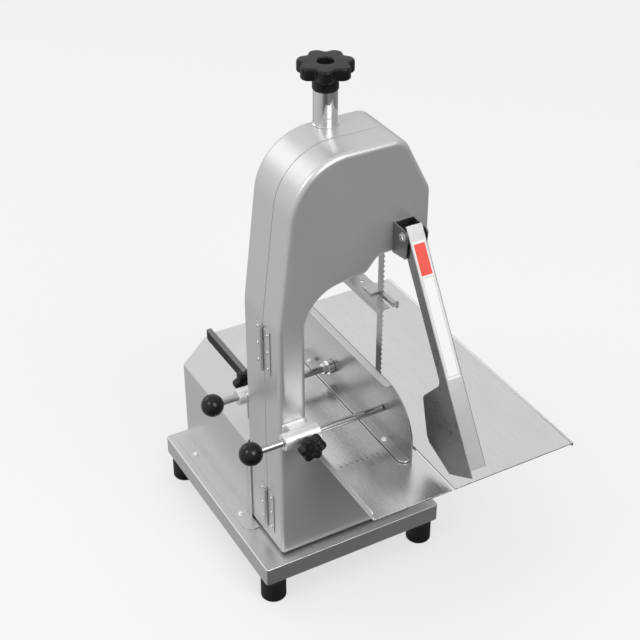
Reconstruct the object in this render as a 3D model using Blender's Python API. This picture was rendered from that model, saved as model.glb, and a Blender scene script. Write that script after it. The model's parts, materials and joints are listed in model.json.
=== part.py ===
"""Countertop bone saw: a band saw on a tray base, modelled as separate sub-parts.

Machine coordinates, in metres: X runs to the right along the front face, Y runs back from the
front, Z runs up, and zero is the front left top corner of the base tray. The last step moves
the whole machine so that the origin is the bottom centre of its bounding box.
"""
import math

import bmesh
import bpy
from mathutils import Matrix, Vector

# ---------------------------------------------------------------- driving dimensions
GAP = 0.0003                      # air left between pieces that touch
SHEET = 0.002                     # stainless sheet

BASE_W, BASE_D, BASE_H = 0.350, 0.420, 0.035
FOOT_R, FOOT_BOTTOM, FOOT_INSET = 0.0225, -0.086, 0.0245

FRONT_Y, SEAM_Y, BACK_Y = 0.0175, 0.0725, 0.142
HOUSE_X0, HOUSE_X1 = 0.0416, 0.311
HOUSE_Z0, HOUSE_Z1 = 0.003, 0.749
COLUMN_X1 = 0.0895                # throat side of the column
ARM_TOP_Z, HEAD_BOTTOM_Z = 0.198, 0.555
EDGE_R = 0.009                    # rounding of the housing's front and back edges

BLADE_X, TEETH_Y, BLADE_W, BLADE_T = 0.2434, 0.0365, 0.0195, 0.0006
WHEEL_R, WHEEL_W = 0.0865, 0.021
WHEEL_X = BLADE_X - WHEEL_R - GAP - BLADE_T
WHEEL_Y = TEETH_Y + BLADE_W / 2
LOWER_Z, UPPER_Z = 0.1005, 0.641
AXLE_R = 0.010

TENSION_X, TENSION_Y = 0.182, 0.122
TUBE_R, TUBE_TOP = 0.019, 0.806
KNOB_TOP, KNOB_R, KNOB_TURNED = 0.851, 0.0445, -16.5

TABLE_X0, TABLE_X1, TABLE_Y0, TABLE_Y1 = 0.0950, 0.481, -0.187, 0.395
TABLE_TOP, TABLE_T = 0.224, 0.0025
SLOT_W = 0.004

FENCE_X, FENCE_T = 0.2175, 0.0025
FENCE_Y0, FENCE_Y1 = -0.100, 0.262
FENCE_Z0, FENCE_Z1 = 0.2255, 0.339
ROD_R = 0.006
FRONT_ROD_Y, FRONT_ROD_Z = -0.009, 0.277
REAR_ROD_Y, REAR_ROD_Z = 0.159, 0.256
BALL_R = 0.020
FRONT_BALL_X, REAR_BALL_X = -0.026, -0.0135

COVER_X0, COVER_X1, COVER_Y1 = 0.039, 0.274, 0.404
COVER_SIDE_Z, COVER_TOP_Z, COVER_CHAMFER = 0.167, 0.214, 0.047
COVER_FLANGE = 0.025

HINGE_X, HINGE_Y = 0.0376, SEAM_Y
HINGE_LENGTH = 0.085
HINGE_Z = (0.073, 0.410)
LOCK_X, LOCK_Z = HOUSE_X1 + 0.014, 0.172     # the door's hand screw, under the table
GUIDE_Z = 0.454                   # underside of the upper guide bracket's channel

PIVOT_Y, PIVOT_Z = -0.013, 0.600
PUSHER_X0, PUSHER_X1 = 0.2465, 0.2765
PUSHER_LEAN = math.radians(32.0)
PUSHER_LENGTH = 0.390

# ---------------------------------------------------------------- scene and materials
for old in list(bpy.data.objects):
    bpy.data.objects.remove(old, do_unlink=True)

machine = bpy.data.objects.new("bone_saw", None)
bpy.context.scene.collection.objects.link(machine)


def material(name, color, roughness, metallic):
    mat = bpy.data.materials.new(name)
    mat.use_nodes = True
    shader = mat.node_tree.nodes["Principled BSDF"]
    shader.inputs["Base Color"].default_value = (*color, 1.0)
    shader.inputs["Roughness"].default_value = roughness
    shader.inputs["Metallic"].default_value = metallic
    return mat


SATIN = material("satin_steel", (0.56, 0.56, 0.56), 0.35, 1.0)
MIRROR = material("polished_steel", (0.74, 0.74, 0.75), 0.08, 1.0)
CHROME = material("chrome", (0.80, 0.80, 0.82), 0.05, 1.0)
ALLOY = material("cast_alloy", (0.82, 0.82, 0.81), 0.40, 0.6)
STEEL = material("dark_steel", (0.30, 0.30, 0.31), 0.40, 1.0)
BLACK = material("black_plastic", (0.012, 0.012, 0.013), 0.25, 0.0)
RUBBER = material("rubber", (0.018, 0.018, 0.018), 0.70, 0.0)
MOTOR_PAINT = material("motor_paint", (0.10, 0.12, 0.14), 0.50, 0.0)
GREEN = material("green_button", (0.02, 0.35, 0.08), 0.30, 0.0)
RED = material("red_button", (0.60, 0.02, 0.02), 0.30, 0.0)
NYLON = material("white_nylon", (0.80, 0.80, 0.78), 0.45, 0.0)


# ---------------------------------------------------------------- outlines
def arc(cx, cy, radius, start, end, steps):
    """Points along an arc, with the angles in degrees."""
    angles = [math.radians(start + (end - start) * i / steps) for i in range(steps + 1)]
    return [(cx + radius * math.cos(a), cy + radius * math.sin(a)) for a in angles]


def rounded(corners, steps=4):
    """A closed outline from its corners (x, y, radius), each corner a tangent arc.

    steps is the number of pieces in each arc: one number, or a list with one for each corner.
    """
    points = []
    count = len(corners)
    arc_steps = steps if isinstance(steps, list) else [steps] * count
    for i, (x, y, radius) in enumerate(corners):
        here = Vector((x, y))
        to_prev = (Vector(corners[i - 1][:2]) - here).normalized()
        to_next = (Vector(corners[(i + 1) % count][:2]) - here).normalized()
        if radius <= 0.0:
            points.append((x, y))
            continue
        half = to_prev.angle(to_next) / 2
        reach = radius / math.tan(half)
        centre = here + (to_prev + to_next).normalized() * (radius / math.sin(half))
        first = here + to_prev * reach - centre
        last = here + to_next * reach - centre
        turn = first.angle_signed(last)
        for k in range(arc_steps[i] + 1):
            spoke = first.copy()
            spoke.rotate(Matrix.Rotation(-turn * k / arc_steps[i], 2))
            points.append(tuple(centre + spoke))
    return points


def inset(corners, depth):
    """The corners of a counter-clockwise outline moved inwards by depth."""
    moved = []
    count = len(corners)
    for i, (x, y, radius) in enumerate(corners):
        here = Vector((x, y))
        before = (here - Vector(corners[i - 1][:2])).normalized()
        after = (Vector(corners[(i + 1) % count][:2]) - here).normalized()
        normal_a = Vector((-before.y, before.x))
        normal_b = Vector((-after.y, after.x))
        point = here + (normal_a + normal_b) * (depth / (1.0 + normal_a.dot(normal_b)))
        convex = before.cross(after) > 0
        new_radius = max(radius - depth, 0.0005) if convex else radius + depth
        moved.append((point.x, point.y, new_radius))
    return moved


def rectangle(x0, y0, x1, y1, radius=0.0):
    return [(x0, y0, radius), (x1, y0, radius), (x1, y1, radius), (x0, y1, radius)]


def star(cx, cy, tip_r, root_r, lobes, points_per_lobe=6, turned=0.0):
    """The scalloped outline of a hand knob: round lobes with hollows, the first lobe turned from X."""
    middle = (tip_r + root_r) / 2
    swing = (tip_r - root_r) / 2
    points = []
    for i in range(lobes * points_per_lobe):
        angle = 2 * math.pi * i / (lobes * points_per_lobe)
        radius = middle + swing * math.cos(lobes * angle)
        angle += math.radians(turned)
        points.append((cx + radius * math.cos(angle), cy + radius * math.sin(angle)))
    return points


# ---------------------------------------------------------------- solids
def place(axis, a, b, t):
    """A point from its two outline values and its place along the axis."""
    return {"X": (t, a, b), "Y": (a, t, b), "Z": (a, b, t)}[axis]


def prism(outline, axis, low, high):
    bm = bmesh.new()
    rings = [[bm.verts.new(place(axis, a, b, t)) for a, b in outline] for t in (low, high)]
    bm.faces.new(rings[0])
    bm.faces.new(rings[1])
    count = len(outline)
    for i in range(count):
        j = (i + 1) % count
        bm.faces.new((rings[0][i], rings[0][j], rings[1][j], rings[1][i]))
    return bm


def loft(sections, axis):
    """A solid through outlines of the same number of points: sections holds (outline, place)."""
    bm = bmesh.new()
    rings = [[bm.verts.new(place(axis, a, b, t)) for a, b in outline] for outline, t in sections]
    bm.faces.new(rings[0])
    bm.faces.new(rings[-1])
    count = len(rings[0])
    for here, after in zip(rings, rings[1:]):
        for i in range(count):
            j = (i + 1) % count
            bm.faces.new((here[i], here[j], after[j], after[i]))
    return bm


def block(low, high):
    return prism([(low[0], low[1]), (high[0], low[1]), (high[0], high[1]), (low[0], high[1])],
                 "Z", low[2], high[2])


def lathe(profile, axis, a, b, segments=24):
    """A turned solid: profile holds (radius, place along the axis) in order round its outline."""
    bm = bmesh.new()
    rings = []
    for radius, t in profile:
        if radius < 1e-9:
            rings.append([bm.verts.new(place(axis, a, b, t))])
            continue
        angles = [2 * math.pi * i / segments for i in range(segments)]
        rings.append([bm.verts.new(place(axis, a + radius * math.cos(w), b + radius * math.sin(w), t))
                      for w in angles])
    for i, ring in enumerate(rings):
        other = rings[(i + 1) % len(rings)]
        if len(ring) == 1 and len(other) == 1:
            continue
        for k in range(segments):
            n = (k + 1) % segments
            if len(ring) == 1:
                bm.faces.new((ring[0], other[k], other[n]))
            elif len(other) == 1:
                bm.faces.new((ring[k], ring[n], other[0]))
            else:
                bm.faces.new((ring[k], ring[n], other[n], other[k]))
    return bm


def rod(axis, a, b, radius, low, high, segments=16, chamfer=0.0):
    profile = [(0.0, low), (radius - chamfer, low), (radius, low + chamfer),
               (radius, high - chamfer), (radius - chamfer, high), (0.0, high)]
    if chamfer == 0.0:
        profile = [(0.0, low), (radius, low), (radius, high), (0.0, high)]
    return lathe(profile, axis, a, b, segments)


def ring(axis, a, b, outer, inner, low, high, segments=16):
    return lathe([(inner, low), (outer, low), (outer, high), (inner, high)], axis, a, b, segments)


def add(name, bm, mat=None, pivot=(0.0, 0.0, 0.0)):
    """Make an object from a mesh in machine coordinates, with its origin at the pivot."""
    bmesh.ops.recalc_face_normals(bm, faces=bm.faces)
    bm.transform(Matrix.Translation(-Vector(pivot)))
    mesh = bpy.data.meshes.new(name)
    bm.to_mesh(mesh)
    bm.free()
    mesh.shade_smooth()
    mesh.set_sharp_from_angle(angle=math.radians(30))
    obj = bpy.data.objects.new(name, mesh)
    bpy.context.scene.collection.objects.link(obj)
    obj.parent = machine
    obj.location = pivot
    if mat is not None:
        mesh.materials.append(mat)
    return obj


def shape(obj, operation, *solids):
    """Cut the solids from an object, or join them to it."""
    for i, bm in enumerate(solids):
        tool = add(f"{obj.name}_{operation.lower()}_{len(obj.modifiers)}_{i}", bm)
        tool.hide_render = True
        tool.display_type = "WIRE"
        step = obj.modifiers.new(tool.name, "BOOLEAN")
        step.operation = operation
        step.solver = "EXACT"
        step.object = tool
    return obj


def cut(obj, *solids):
    return shape(obj, "DIFFERENCE", *solids)


def join(obj, *solids):
    return shape(obj, "UNION", *solids)


# ---------------------------------------------------------------- base
def make_base():
    outline = rounded(rectangle(0, 0, BASE_W, BASE_D, 0.006))
    tray = add("base_tray", prism(outline, "Z", -BASE_H, 0), SATIN)
    hollow = rectangle(SHEET, SHEET, BASE_W - SHEET, BASE_D - SHEET, 0.004)
    cut(tray, prism(rounded(hollow), "Z", -BASE_H - 0.01, -SHEET))
    profile = [(0.0, FOOT_BOTTOM), (FOOT_R - 0.003, FOOT_BOTTOM), (FOOT_R, FOOT_BOTTOM + 0.004),
               (FOOT_R, -0.048), (FOOT_R - 0.004, -0.040), (0.010, -0.038), (0.010, -SHEET - GAP),
               (0.0, -SHEET - GAP)]
    for side, x in (("left", FOOT_INSET), ("right", BASE_W - FOOT_INSET)):
        for end, y in (("front", FOOT_INSET), ("rear", BASE_D - FOOT_INSET)):
            add(f"foot_{end}_{side}", lathe(profile, "Z", x, y, 18), RUBBER, (x, y, -BASE_H))


# ---------------------------------------------------------------- housing
def housing_corners():
    """The C outline of the housing, counter-clockwise in X and Z, seen from the front."""
    return [
        (HOUSE_X0, HOUSE_Z0, 0.006),
        (HOUSE_X1, HOUSE_Z0, 0.012),
        (HOUSE_X1, ARM_TOP_Z, 0.012),
        (COLUMN_X1, ARM_TOP_Z, 0.012),
        (COLUMN_X1, 0.516, 0.070),
        (0.199, 0.529, 0.020),
        (0.221, HEAD_BOTTOM_Z, 0.022),
        (HOUSE_X1, HEAD_BOTTOM_Z, 0.012),
        (HOUSE_X1, 0.652, 0.030),
        (0.262, HOUSE_Z1, 0.030),
        (0.075, HOUSE_Z1, 0.100),
        (HOUSE_X0, 0.468, 0.120),
    ]


def blade_notch(z_low, z_high, y_low):
    """The open slot that lets the blade through a wall that crosses it."""
    return block((BLADE_X - 0.007, y_low, z_low), (BLADE_X + 0.006, SEAM_Y + 0.02, z_high))


def housing_shell(depth, face_y, open_y):
    """One half of the housing as a solid: a rounded edge at its face, straight walls to its seam.

    depth moves the outline inwards, so the same shape serves for the outside and for the hollow.
    """
    steps = [1, 1, 1, 1, 5, 2, 3, 1, 3, 3, 6, 3]
    side = 1 if open_y > face_y else -1
    sections = []
    for angle in (0, 45, 90):
        w = math.radians(angle)
        edge_in = EDGE_R * (1 - math.sin(w))
        edge_along = EDGE_R * (1 - math.cos(w))
        outline = rounded(inset(housing_corners(), depth + edge_in), steps)
        sections.append((outline, face_y + side * (depth + edge_along)))
    sections.append((rounded(inset(housing_corners(), depth), steps), open_y))
    return loft(sections, "Y")


def make_housing():
    body = add("housing_body", housing_shell(0.0, BACK_Y, SEAM_Y + GAP), SATIN)
    cut(body, housing_shell(SHEET, BACK_Y, SEAM_Y - 0.02))
    cut(body,
        rod("Z", TENSION_X, TENSION_Y, 0.0075, HOUSE_Z1 - 0.01, HOUSE_Z1 + 0.01),
        rod("Y", WHEEL_X, LOWER_Z, 0.030, BACK_Y - 0.01, BACK_Y + 0.01))

    door = add("housing_door", housing_shell(0.0, FRONT_Y, SEAM_Y - GAP), SATIN,
               (HINGE_X, HINGE_Y, HOUSE_Z0))
    cut(door, housing_shell(SHEET, FRONT_Y, SEAM_Y + 0.02))
    cut(door,
        blade_notch(HEAD_BOTTOM_Z - 0.012, HEAD_BOTTOM_Z + 0.012, TEETH_Y - 0.006),
        blade_notch(ARM_TOP_Z - 0.012, ARM_TOP_Z + 0.012, TEETH_Y - 0.006))
    return body, door


def make_hinge(level, z_mid):
    """A butt hinge on the left side: two screwed leaves and a pin."""
    half = HINGE_LENGTH / 2
    low, high = z_mid - half, z_mid + half
    pivot = (HINGE_X, HINGE_Y, z_mid)
    knuckle_r, bore_r, pin_r = 0.0035, 0.0020, 0.0016
    leaf_x0, leaf_x1 = HOUSE_X0 - GAP - 0.0014, HOUSE_X0 - GAP
    thirds = [low + HINGE_LENGTH * i / 3 for i in range(4)]
    spans = {"fixed": [(thirds[0], thirds[1] - GAP), (thirds[2] + GAP, thirds[3])],
             "door": [(thirds[1], thirds[2])]}
    for leaf, side in (("fixed", 1), ("door", -1)):
        y_near, y_far = HINGE_Y + side * 0.0045, HINGE_Y + side * 0.024
        plate = block((leaf_x0, min(y_near, y_far), low), (leaf_x1, max(y_near, y_far), high))
        obj = add(f"hinge_{level}_{leaf}_leaf", plate, SATIN, pivot)
        for z0, z1 in spans[leaf]:
            arm_y = sorted((HINGE_Y, y_near + side * 0.002))
            join(obj, block((leaf_x0, arm_y[0], z0), (leaf_x1, arm_y[1], z1)),
                 rod("Z", HINGE_X, HINGE_Y, knuckle_r, z0, z1, 12))
            cut(obj, rod("Z", HINGE_X, HINGE_Y, bore_r, z0 - 0.001, z1 + 0.001, 12))
        for z in (low + 0.010, z_mid, high - 0.010):
            profile = [(0.0, leaf_x0 + 0.0005), (0.0030, leaf_x0 + 0.0005), (0.0024, leaf_x0 - 0.0012),
                       (0.0, leaf_x0 - 0.0018)]
            head = lathe(profile, "X", HINGE_Y + side * 0.0165, z, 6)
            join(obj, head)
    pin = rod("Z", HINGE_X, HINGE_Y, pin_r, low - 0.0008, high + 0.0008, 12)
    add(f"hinge_{level}_pin", pin, STEEL, pivot)


def make_door_lock(body, door):
    """A hand screw in a lug on the door's right side, which faces a tab on the body."""
    x0, x1 = HOUSE_X1 - 0.001, HOUSE_X1 + 0.026
    x, z = LOCK_X, LOCK_Z
    low, high = z - 0.012, z + 0.012
    tab_y = SEAM_Y + 0.010
    join(body, block((x0, tab_y, low), (x1, tab_y + 0.004, high)))
    cut(body, rod("Y", x, z, 0.0038, tab_y - 0.01, tab_y + 0.01, 16))
    lug_y = SEAM_Y - 0.012
    join(door, block((x0, lug_y, low), (x1, lug_y + 0.004, high)))
    cut(door, rod("Y", x, z, 0.0036, lug_y - 0.01, lug_y + 0.01, 16))
    head = prism(star(x, z, 0.0125, 0.0110, 8, 4), "Y", lug_y - 0.020, lug_y - GAP)
    knob = add("door_lock_knob", head, BLACK, (x, lug_y, z))
    join(knob, rod("Y", x, z, 0.0030, lug_y - 0.010, tab_y - 0.001, 12))


# ---------------------------------------------------------------- motor and drive
def make_motor():
    pivot = (WHEEL_X, BACK_Y, LOWER_Z)
    front, back, radius = BACK_Y + 0.010, 0.352, 0.066

    def section(depth):
        points = []
        for i in range(40):
            angle = math.radians(i * 9)
            reach = radius - (depth if i % 2 else 0.0)
            points.append((WHEEL_X + reach * math.cos(angle), LOWER_Z + reach * math.sin(angle)))
        return points

    round_end, finned = section(0.0), section(0.007)
    motor = add("motor",
                loft([(round_end, front), (round_end, front + 0.014), (finned, front + 0.0145),
                      (finned, back - 0.0365), (round_end, back - 0.036), (round_end, back)], "Y"),
                MOTOR_PAINT, pivot)
    join(motor, block((WHEEL_X - 0.040, front + 0.030, GAP), (WHEEL_X + 0.040, back - 0.050, 0.062)))
    cut(motor,
        block((WHEEL_X - 0.024, front, -0.01), (WHEEL_X + 0.024, back, 0.022)),
        rod("Y", WHEEL_X, LOWER_Z, AXLE_R + GAP, front - 0.01, front + 0.034))

    seat_r = 0.029
    seat = add("shaft_bearing", ring("Y", WHEEL_X, LOWER_Z, seat_r, AXLE_R + GAP, 0.105, front - GAP, 20),
               STEEL, pivot)
    join(seat, ring("Y", WHEEL_X, LOWER_Z, 0.045, AXLE_R + GAP, 0.128, BACK_Y - SHEET - GAP, 20))

    shaft = add("motor_shaft", rod("Y", WHEEL_X, LOWER_Z, AXLE_R, 0.028, front + 0.028, 24, 0.001),
                STEEL, (WHEEL_X, WHEEL_Y, LOWER_Z))
    join(shaft, ring("Y", WHEEL_X, LOWER_Z, 0.014, AXLE_R - 0.001, 0.0615, 0.1030))

    x0, x1 = COVER_X0, COVER_X1
    side = [(x0, 0.0), (x0, COVER_SIDE_Z), (x0 + COVER_CHAMFER, COVER_TOP_Z),
            (x1 - COVER_CHAMFER, COVER_TOP_Z), (x1, COVER_SIDE_Z), (x1, 0.0)]
    corners = [(x, z, 0.002) for x, z in reversed(side)]
    corners = [(x, max(z, GAP), 0.0 if z == 0.0 else r) for x, z, r in corners]
    low_y = BACK_Y + GAP
    cover = add("motor_cover", prism(rounded(corners, 2), "Y", low_y, COVER_Y1), SATIN)
    inner = [(x, z if z > 0.01 else -0.01, r) for x, z, r in inset(corners, SHEET)]
    cut(cover, prism(rounded(inner, 2), "Y", low_y - 0.01, COVER_Y1 - SHEET))
    for x_wall, x_edge in ((x0, x0 - COVER_FLANGE), (x1, x1 + COVER_FLANGE)):
        low, high = sorted((x_wall, x_edge))
        left = x_edge < x_wall
        y_front = 0.104 if left else low_y
        wall = (low, high + 0.001) if left else (low - 0.001, high)
        outline = [(wall[0], y_front, 0.016 if left else 0.0), (wall[1], y_front, 0.0),
                   (wall[1], COVER_Y1, 0.0), (wall[0], COVER_Y1, 0.0)]
        flange = prism(rounded(outline, 5), "Z", GAP, 0.0023)
        bolts = [rod("Z", (low + high) / 2, y, 0.0050, 0.0015, 0.0050, 12, 0.001) for y in (0.150, 0.340)]
        join(cover, flange, *bolts)
    for i in range(7):
        x = WHEEL_X - 0.060 + i * 0.020
        cut(cover, block((x - 0.003, COVER_Y1 - 0.01, 0.060), (x + 0.003, COVER_Y1 + 0.01, 0.130)))
    gland_z = 0.030
    cut(cover, rod("Y", 0.240, gland_z, 0.0085, COVER_Y1 - 0.01, COVER_Y1 + 0.01, 16))
    gland = add("cable_gland", rod("Y", 0.240, gland_z, 0.0080, COVER_Y1 - 0.008, COVER_Y1 + 0.014), BLACK)
    join(gland, rod("Y", 0.240, gland_z, 0.0115, COVER_Y1 + GAP, COVER_Y1 + 0.007, 6))
    cut(gland, rod("Y", 0.240, gland_z, 0.0045, COVER_Y1 - 0.02, COVER_Y1 + 0.02))


def make_wheel(name, z, bore):
    """A band wheel: a plain rim, a thin web with round holes, and a hub."""
    y0, y1 = WHEEL_Y - WHEEL_W / 2, WHEEL_Y + WHEEL_W / 2
    profile = [(bore, y0 + 0.001), (0.022, y0 + 0.001), (0.022, WHEEL_Y - 0.003), (0.074, WHEEL_Y - 0.003),
               (0.074, y0), (WHEEL_R, y0), (WHEEL_R, y1), (0.074, y1), (0.074, WHEEL_Y + 0.003),
               (0.022, WHEEL_Y + 0.003), (0.022, y1), (bore, y1)]
    wheel = add(name, lathe(profile, "Y", WHEEL_X, z, 30), ALLOY, (WHEEL_X, WHEEL_Y, z))
    for i in range(5):
        angle = math.radians(90 + 72 * i)
        x, hole_z = WHEEL_X + 0.048 * math.cos(angle), z + 0.048 * math.sin(angle)
        cut(wheel, rod("Y", x, hole_z, 0.014, WHEEL_Y - 0.01, WHEEL_Y + 0.01, 10))
    return wheel


def make_drive():
    make_wheel("lower_wheel", LOWER_Z, AXLE_R + GAP)
    make_wheel("upper_wheel", UPPER_Z, 0.0165)
    nut_y = WHEEL_Y - WHEEL_W / 2
    nut = add("lower_wheel_nut", rod("Y", WHEEL_X, LOWER_Z, 0.0165, nut_y - 0.007, nut_y + 0.001 - GAP, 6),
              STEEL, (WHEEL_X, WHEEL_Y, LOWER_Z))
    cut(nut, rod("Y", WHEEL_X, LOWER_Z, AXLE_R + GAP, nut_y - 0.02, nut_y + 0.02))
    bearing = ring("Y", WHEEL_X, UPPER_Z, 0.0162, AXLE_R + GAP, nut_y + 0.002, 0.0560, 32)
    add("upper_wheel_bearing", bearing, STEEL, (WHEEL_X, WHEEL_Y, UPPER_Z))

    axle = add("upper_axle", rod("Y", WHEEL_X, UPPER_Z, AXLE_R, 0.030, 0.098, 24, 0.001), STEEL,
               (WHEEL_X, WHEEL_Y, UPPER_Z))
    join(axle,
         rod("Y", WHEEL_X, UPPER_Z, 0.0140, 0.0600, 0.0700, 24),
         rod("Y", WHEEL_X, UPPER_Z, 0.0145, 0.0290, 0.0355, 6))

    half = WHEEL_R + GAP
    loops = []
    for radius in (half + BLADE_T, half):
        over = arc(WHEEL_X, UPPER_Z, radius, 0, 180, 24)
        under = arc(WHEEL_X, LOWER_Z, radius, 180, 360, 24)
        loops.append(over + under)
    blade = add("blade", prism(loops[0], "Y", TEETH_Y, TEETH_Y + BLADE_W), STEEL)
    cut(blade, prism(loops[1], "Y", TEETH_Y - 0.01, TEETH_Y + BLADE_W + 0.01))


# ---------------------------------------------------------------- tension
def make_tension():
    rail_z0, rail_z1 = UPPER_Z - 0.050, UPPER_Z + 0.070
    block_x0, block_x1 = WHEEL_X - 0.032, TENSION_X + 0.024
    for side, x in (("left", block_x0), ("right", block_x1)):
        sign = -1 if side == "left" else 1
        near, far = sorted((x + sign * GAP, x + sign * 0.012))
        bar = block((near, 0.100, rail_z0), (far, BACK_Y - SHEET - GAP, rail_z1))
        rail = add(f"carriage_rail_{side}", bar, SATIN)
        lip_near, lip_far = sorted((x - sign * 0.008, x + sign * 0.012))
        join(rail, block((lip_near, 0.098, rail_z0), (lip_far, 0.1045, rail_z1)))

    pivot = (WHEEL_X, WHEEL_Y, UPPER_Z)
    low, high = UPPER_Z - 0.030, UPPER_Z + 0.030
    slider = block((block_x0, 0.105, low), (block_x1, BACK_Y - SHEET - 0.001, high))
    carriage = add("tension_carriage", slider, STEEL, pivot)
    join(carriage, block((WHEEL_X - 0.022, 0.072, UPPER_Z - 0.022),
                         (WHEEL_X + 0.022, 0.110, UPPER_Z + 0.022)))
    cut(carriage,
        rod("Y", WHEEL_X, UPPER_Z, AXLE_R + GAP, 0.05, 0.0985),
        rod("Z", TENSION_X, TENSION_Y, 0.0063, low - 0.01, high + 0.01))

    screw_pivot = (TENSION_X, TENSION_Y, KNOB_TOP)
    screw = rod("Z", TENSION_X, TENSION_Y, 0.0058, low - 0.020, 0.828, 20, 0.001)
    add("tension_screw", screw, STEEL, screw_pivot)
    pipe = ring("Z", TENSION_X, TENSION_Y, TUBE_R, TUBE_R - 0.0025, HOUSE_Z1 + GAP, TUBE_TOP, 28)
    tube = add("tension_tube", pipe, CHROME)
    join(tube, ring("Z", TENSION_X, TENSION_Y, TUBE_R, 0.0075, HOUSE_Z1 + GAP, HOUSE_Z1 + 0.003, 28))

    turns, spring_r, wire_r, steps = 4, 0.0110, 0.0017, 12
    z0, z1 = HOUSE_Z1 + 0.006, TUBE_TOP - 0.006
    spring = bmesh.new()
    rings = []
    for i in range(turns * steps + 1):
        angle = 2 * math.pi * i / steps
        out = Vector((math.cos(angle), math.sin(angle), 0.0))
        centre = Vector((TENSION_X, TENSION_Y, z0 + (z1 - z0) * i / (turns * steps))) + out * spring_r
        wire = []
        for k in range(4):
            w = math.radians(90 * k)
            rise = Vector((0.0, 0.0, wire_r * math.sin(w)))
            wire.append(spring.verts.new(centre + out * wire_r * math.cos(w) + rise))
        rings.append(wire)
    for here, after in zip(rings, rings[1:]):
        for k in range(4):
            spring.faces.new((here[k], here[(k + 1) % 4], after[(k + 1) % 4], after[k]))
    spring.faces.new(rings[0])
    spring.faces.new(rings[-1])
    add("tension_spring", spring, STEEL)

    disc_low = KNOB_TOP - 0.020
    disc = prism(star(TENSION_X, TENSION_Y, KNOB_R, KNOB_R - 0.008, 7, turned=KNOB_TURNED),
                 "Z", disc_low, KNOB_TOP)
    knob = add("tension_knob", disc, BLACK, screw_pivot)
    join(knob, rod("Z", TENSION_X, TENSION_Y, 0.0205, TUBE_TOP + GAP, disc_low + 0.001, 32))
    recess = [(0.0, KNOB_TOP - 0.008), (0.009, KNOB_TOP - 0.008), (0.0145, KNOB_TOP + 0.001),
              (0.0, KNOB_TOP + 0.001)]
    cut(knob,
        lathe(recess, "Z", TENSION_X, TENSION_Y, 24),
        rod("Z", TENSION_X, TENSION_Y, 0.0061, TUBE_TOP - 0.01, 0.829))


# ---------------------------------------------------------------- guides
def make_guides():
    z = GUIDE_Z
    x0, x1 = BLADE_X - 0.021, BLADE_X + 0.012
    y0, y1 = 0.014, BACK_Y + GAP + 0.003
    bracket = add("upper_guide_bracket", block((x0, y0, z), (x1, y1, z + 0.002)), SATIN)
    join(bracket,
         block((x0, y0, z - 0.010), (x0 + 0.002, y1, z + 0.002)),
         block((x1 - 0.002, BACK_Y + GAP, z), (x1, y1, z + 0.002)),
         block((x0, BACK_Y + GAP, z), (x1, y1, HEAD_BOTTOM_Z + 0.060)),
         rod("Y", (x0 + x1) / 2, HEAD_BOTTOM_Z + 0.020, 0.005, y1 - 0.001, y1 + 0.004, 6),
         rod("Y", (x0 + x1) / 2, HEAD_BOTTOM_Z + 0.045, 0.005, y1 - 0.001, y1 + 0.004, 6))
    cut(bracket,
        block((BLADE_X - 0.003, y0 - 0.01, z - 0.01),
              (BLADE_X + 0.002, TEETH_Y + BLADE_W + 0.001, z + 0.01)),
        rod("Z", (x0 + x1) / 2 + 0.002, 0.103, 0.0035, z - 0.01, z + 0.01, 12),
        block((x0 + 0.010, 0.066, z - 0.01), (x0 + 0.024, 0.070, z + 0.01)))

    hook_y, hook_z = y0 + 0.004, z + 0.002 + GAP
    strip = block((BLADE_X + 0.0035, hook_y, hook_z), (x1 - 0.0005, 0.085, hook_z + 0.003))
    hook = add("upper_guide_hook", strip, STEEL)
    join(hook,
         block((x1 + GAP, hook_y, hook_z - 0.010), (x1 + 0.004, hook_y + 0.0035, hook_z + 0.003)),
         block((x1 - 0.004, hook_y, hook_z), (x1 + 0.004, hook_y + 0.0035, hook_z + 0.003)),
         block((BLADE_X - 0.012, TEETH_Y + BLADE_W + 0.002, hook_z),
               (BLADE_X + 0.005, 0.085, hook_z + 0.003)))

    lower_z = ARM_TOP_Z + GAP
    foot = block((BLADE_X - 0.012, SEAM_Y + 0.004, lower_z), (BLADE_X + 0.012, 0.110, lower_z + 0.006))
    guide = add("lower_guide_block", foot, STEEL)
    join(guide, block((BLADE_X - 0.006, TEETH_Y + BLADE_W + 0.001, lower_z + 0.002),
                      (BLADE_X + 0.006, 0.080, lower_z + 0.014)))
    # The upper scraper stands further off, because its wheel comes down with the carriage.
    for level, wheel_z, side, stand_off in (("lower", LOWER_Z, 1, 0.0012), ("upper", UPPER_Z, -1, 0.0046)):
        x0 = WHEEL_X - 0.020

        def slab(y_low, y_high, out_low, out_high):
            z_low, z_high = sorted(wheel_z + side * (WHEEL_R + out) for out in (out_low, out_high))
            return block((x0, y_low, z_low), (x0 + 0.026, y_high, z_high))

        strip = slab(WHEEL_Y - 0.008, 0.120, stand_off, stand_off + 0.0030)
        scraper = add(f"{level}_wheel_scraper", strip, NYLON)
        join(scraper,
             slab(0.100, 0.125, -0.014, stand_off + 0.0028),
             slab(0.118, BACK_Y - SHEET - GAP, -0.013, -0.001))


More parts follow.
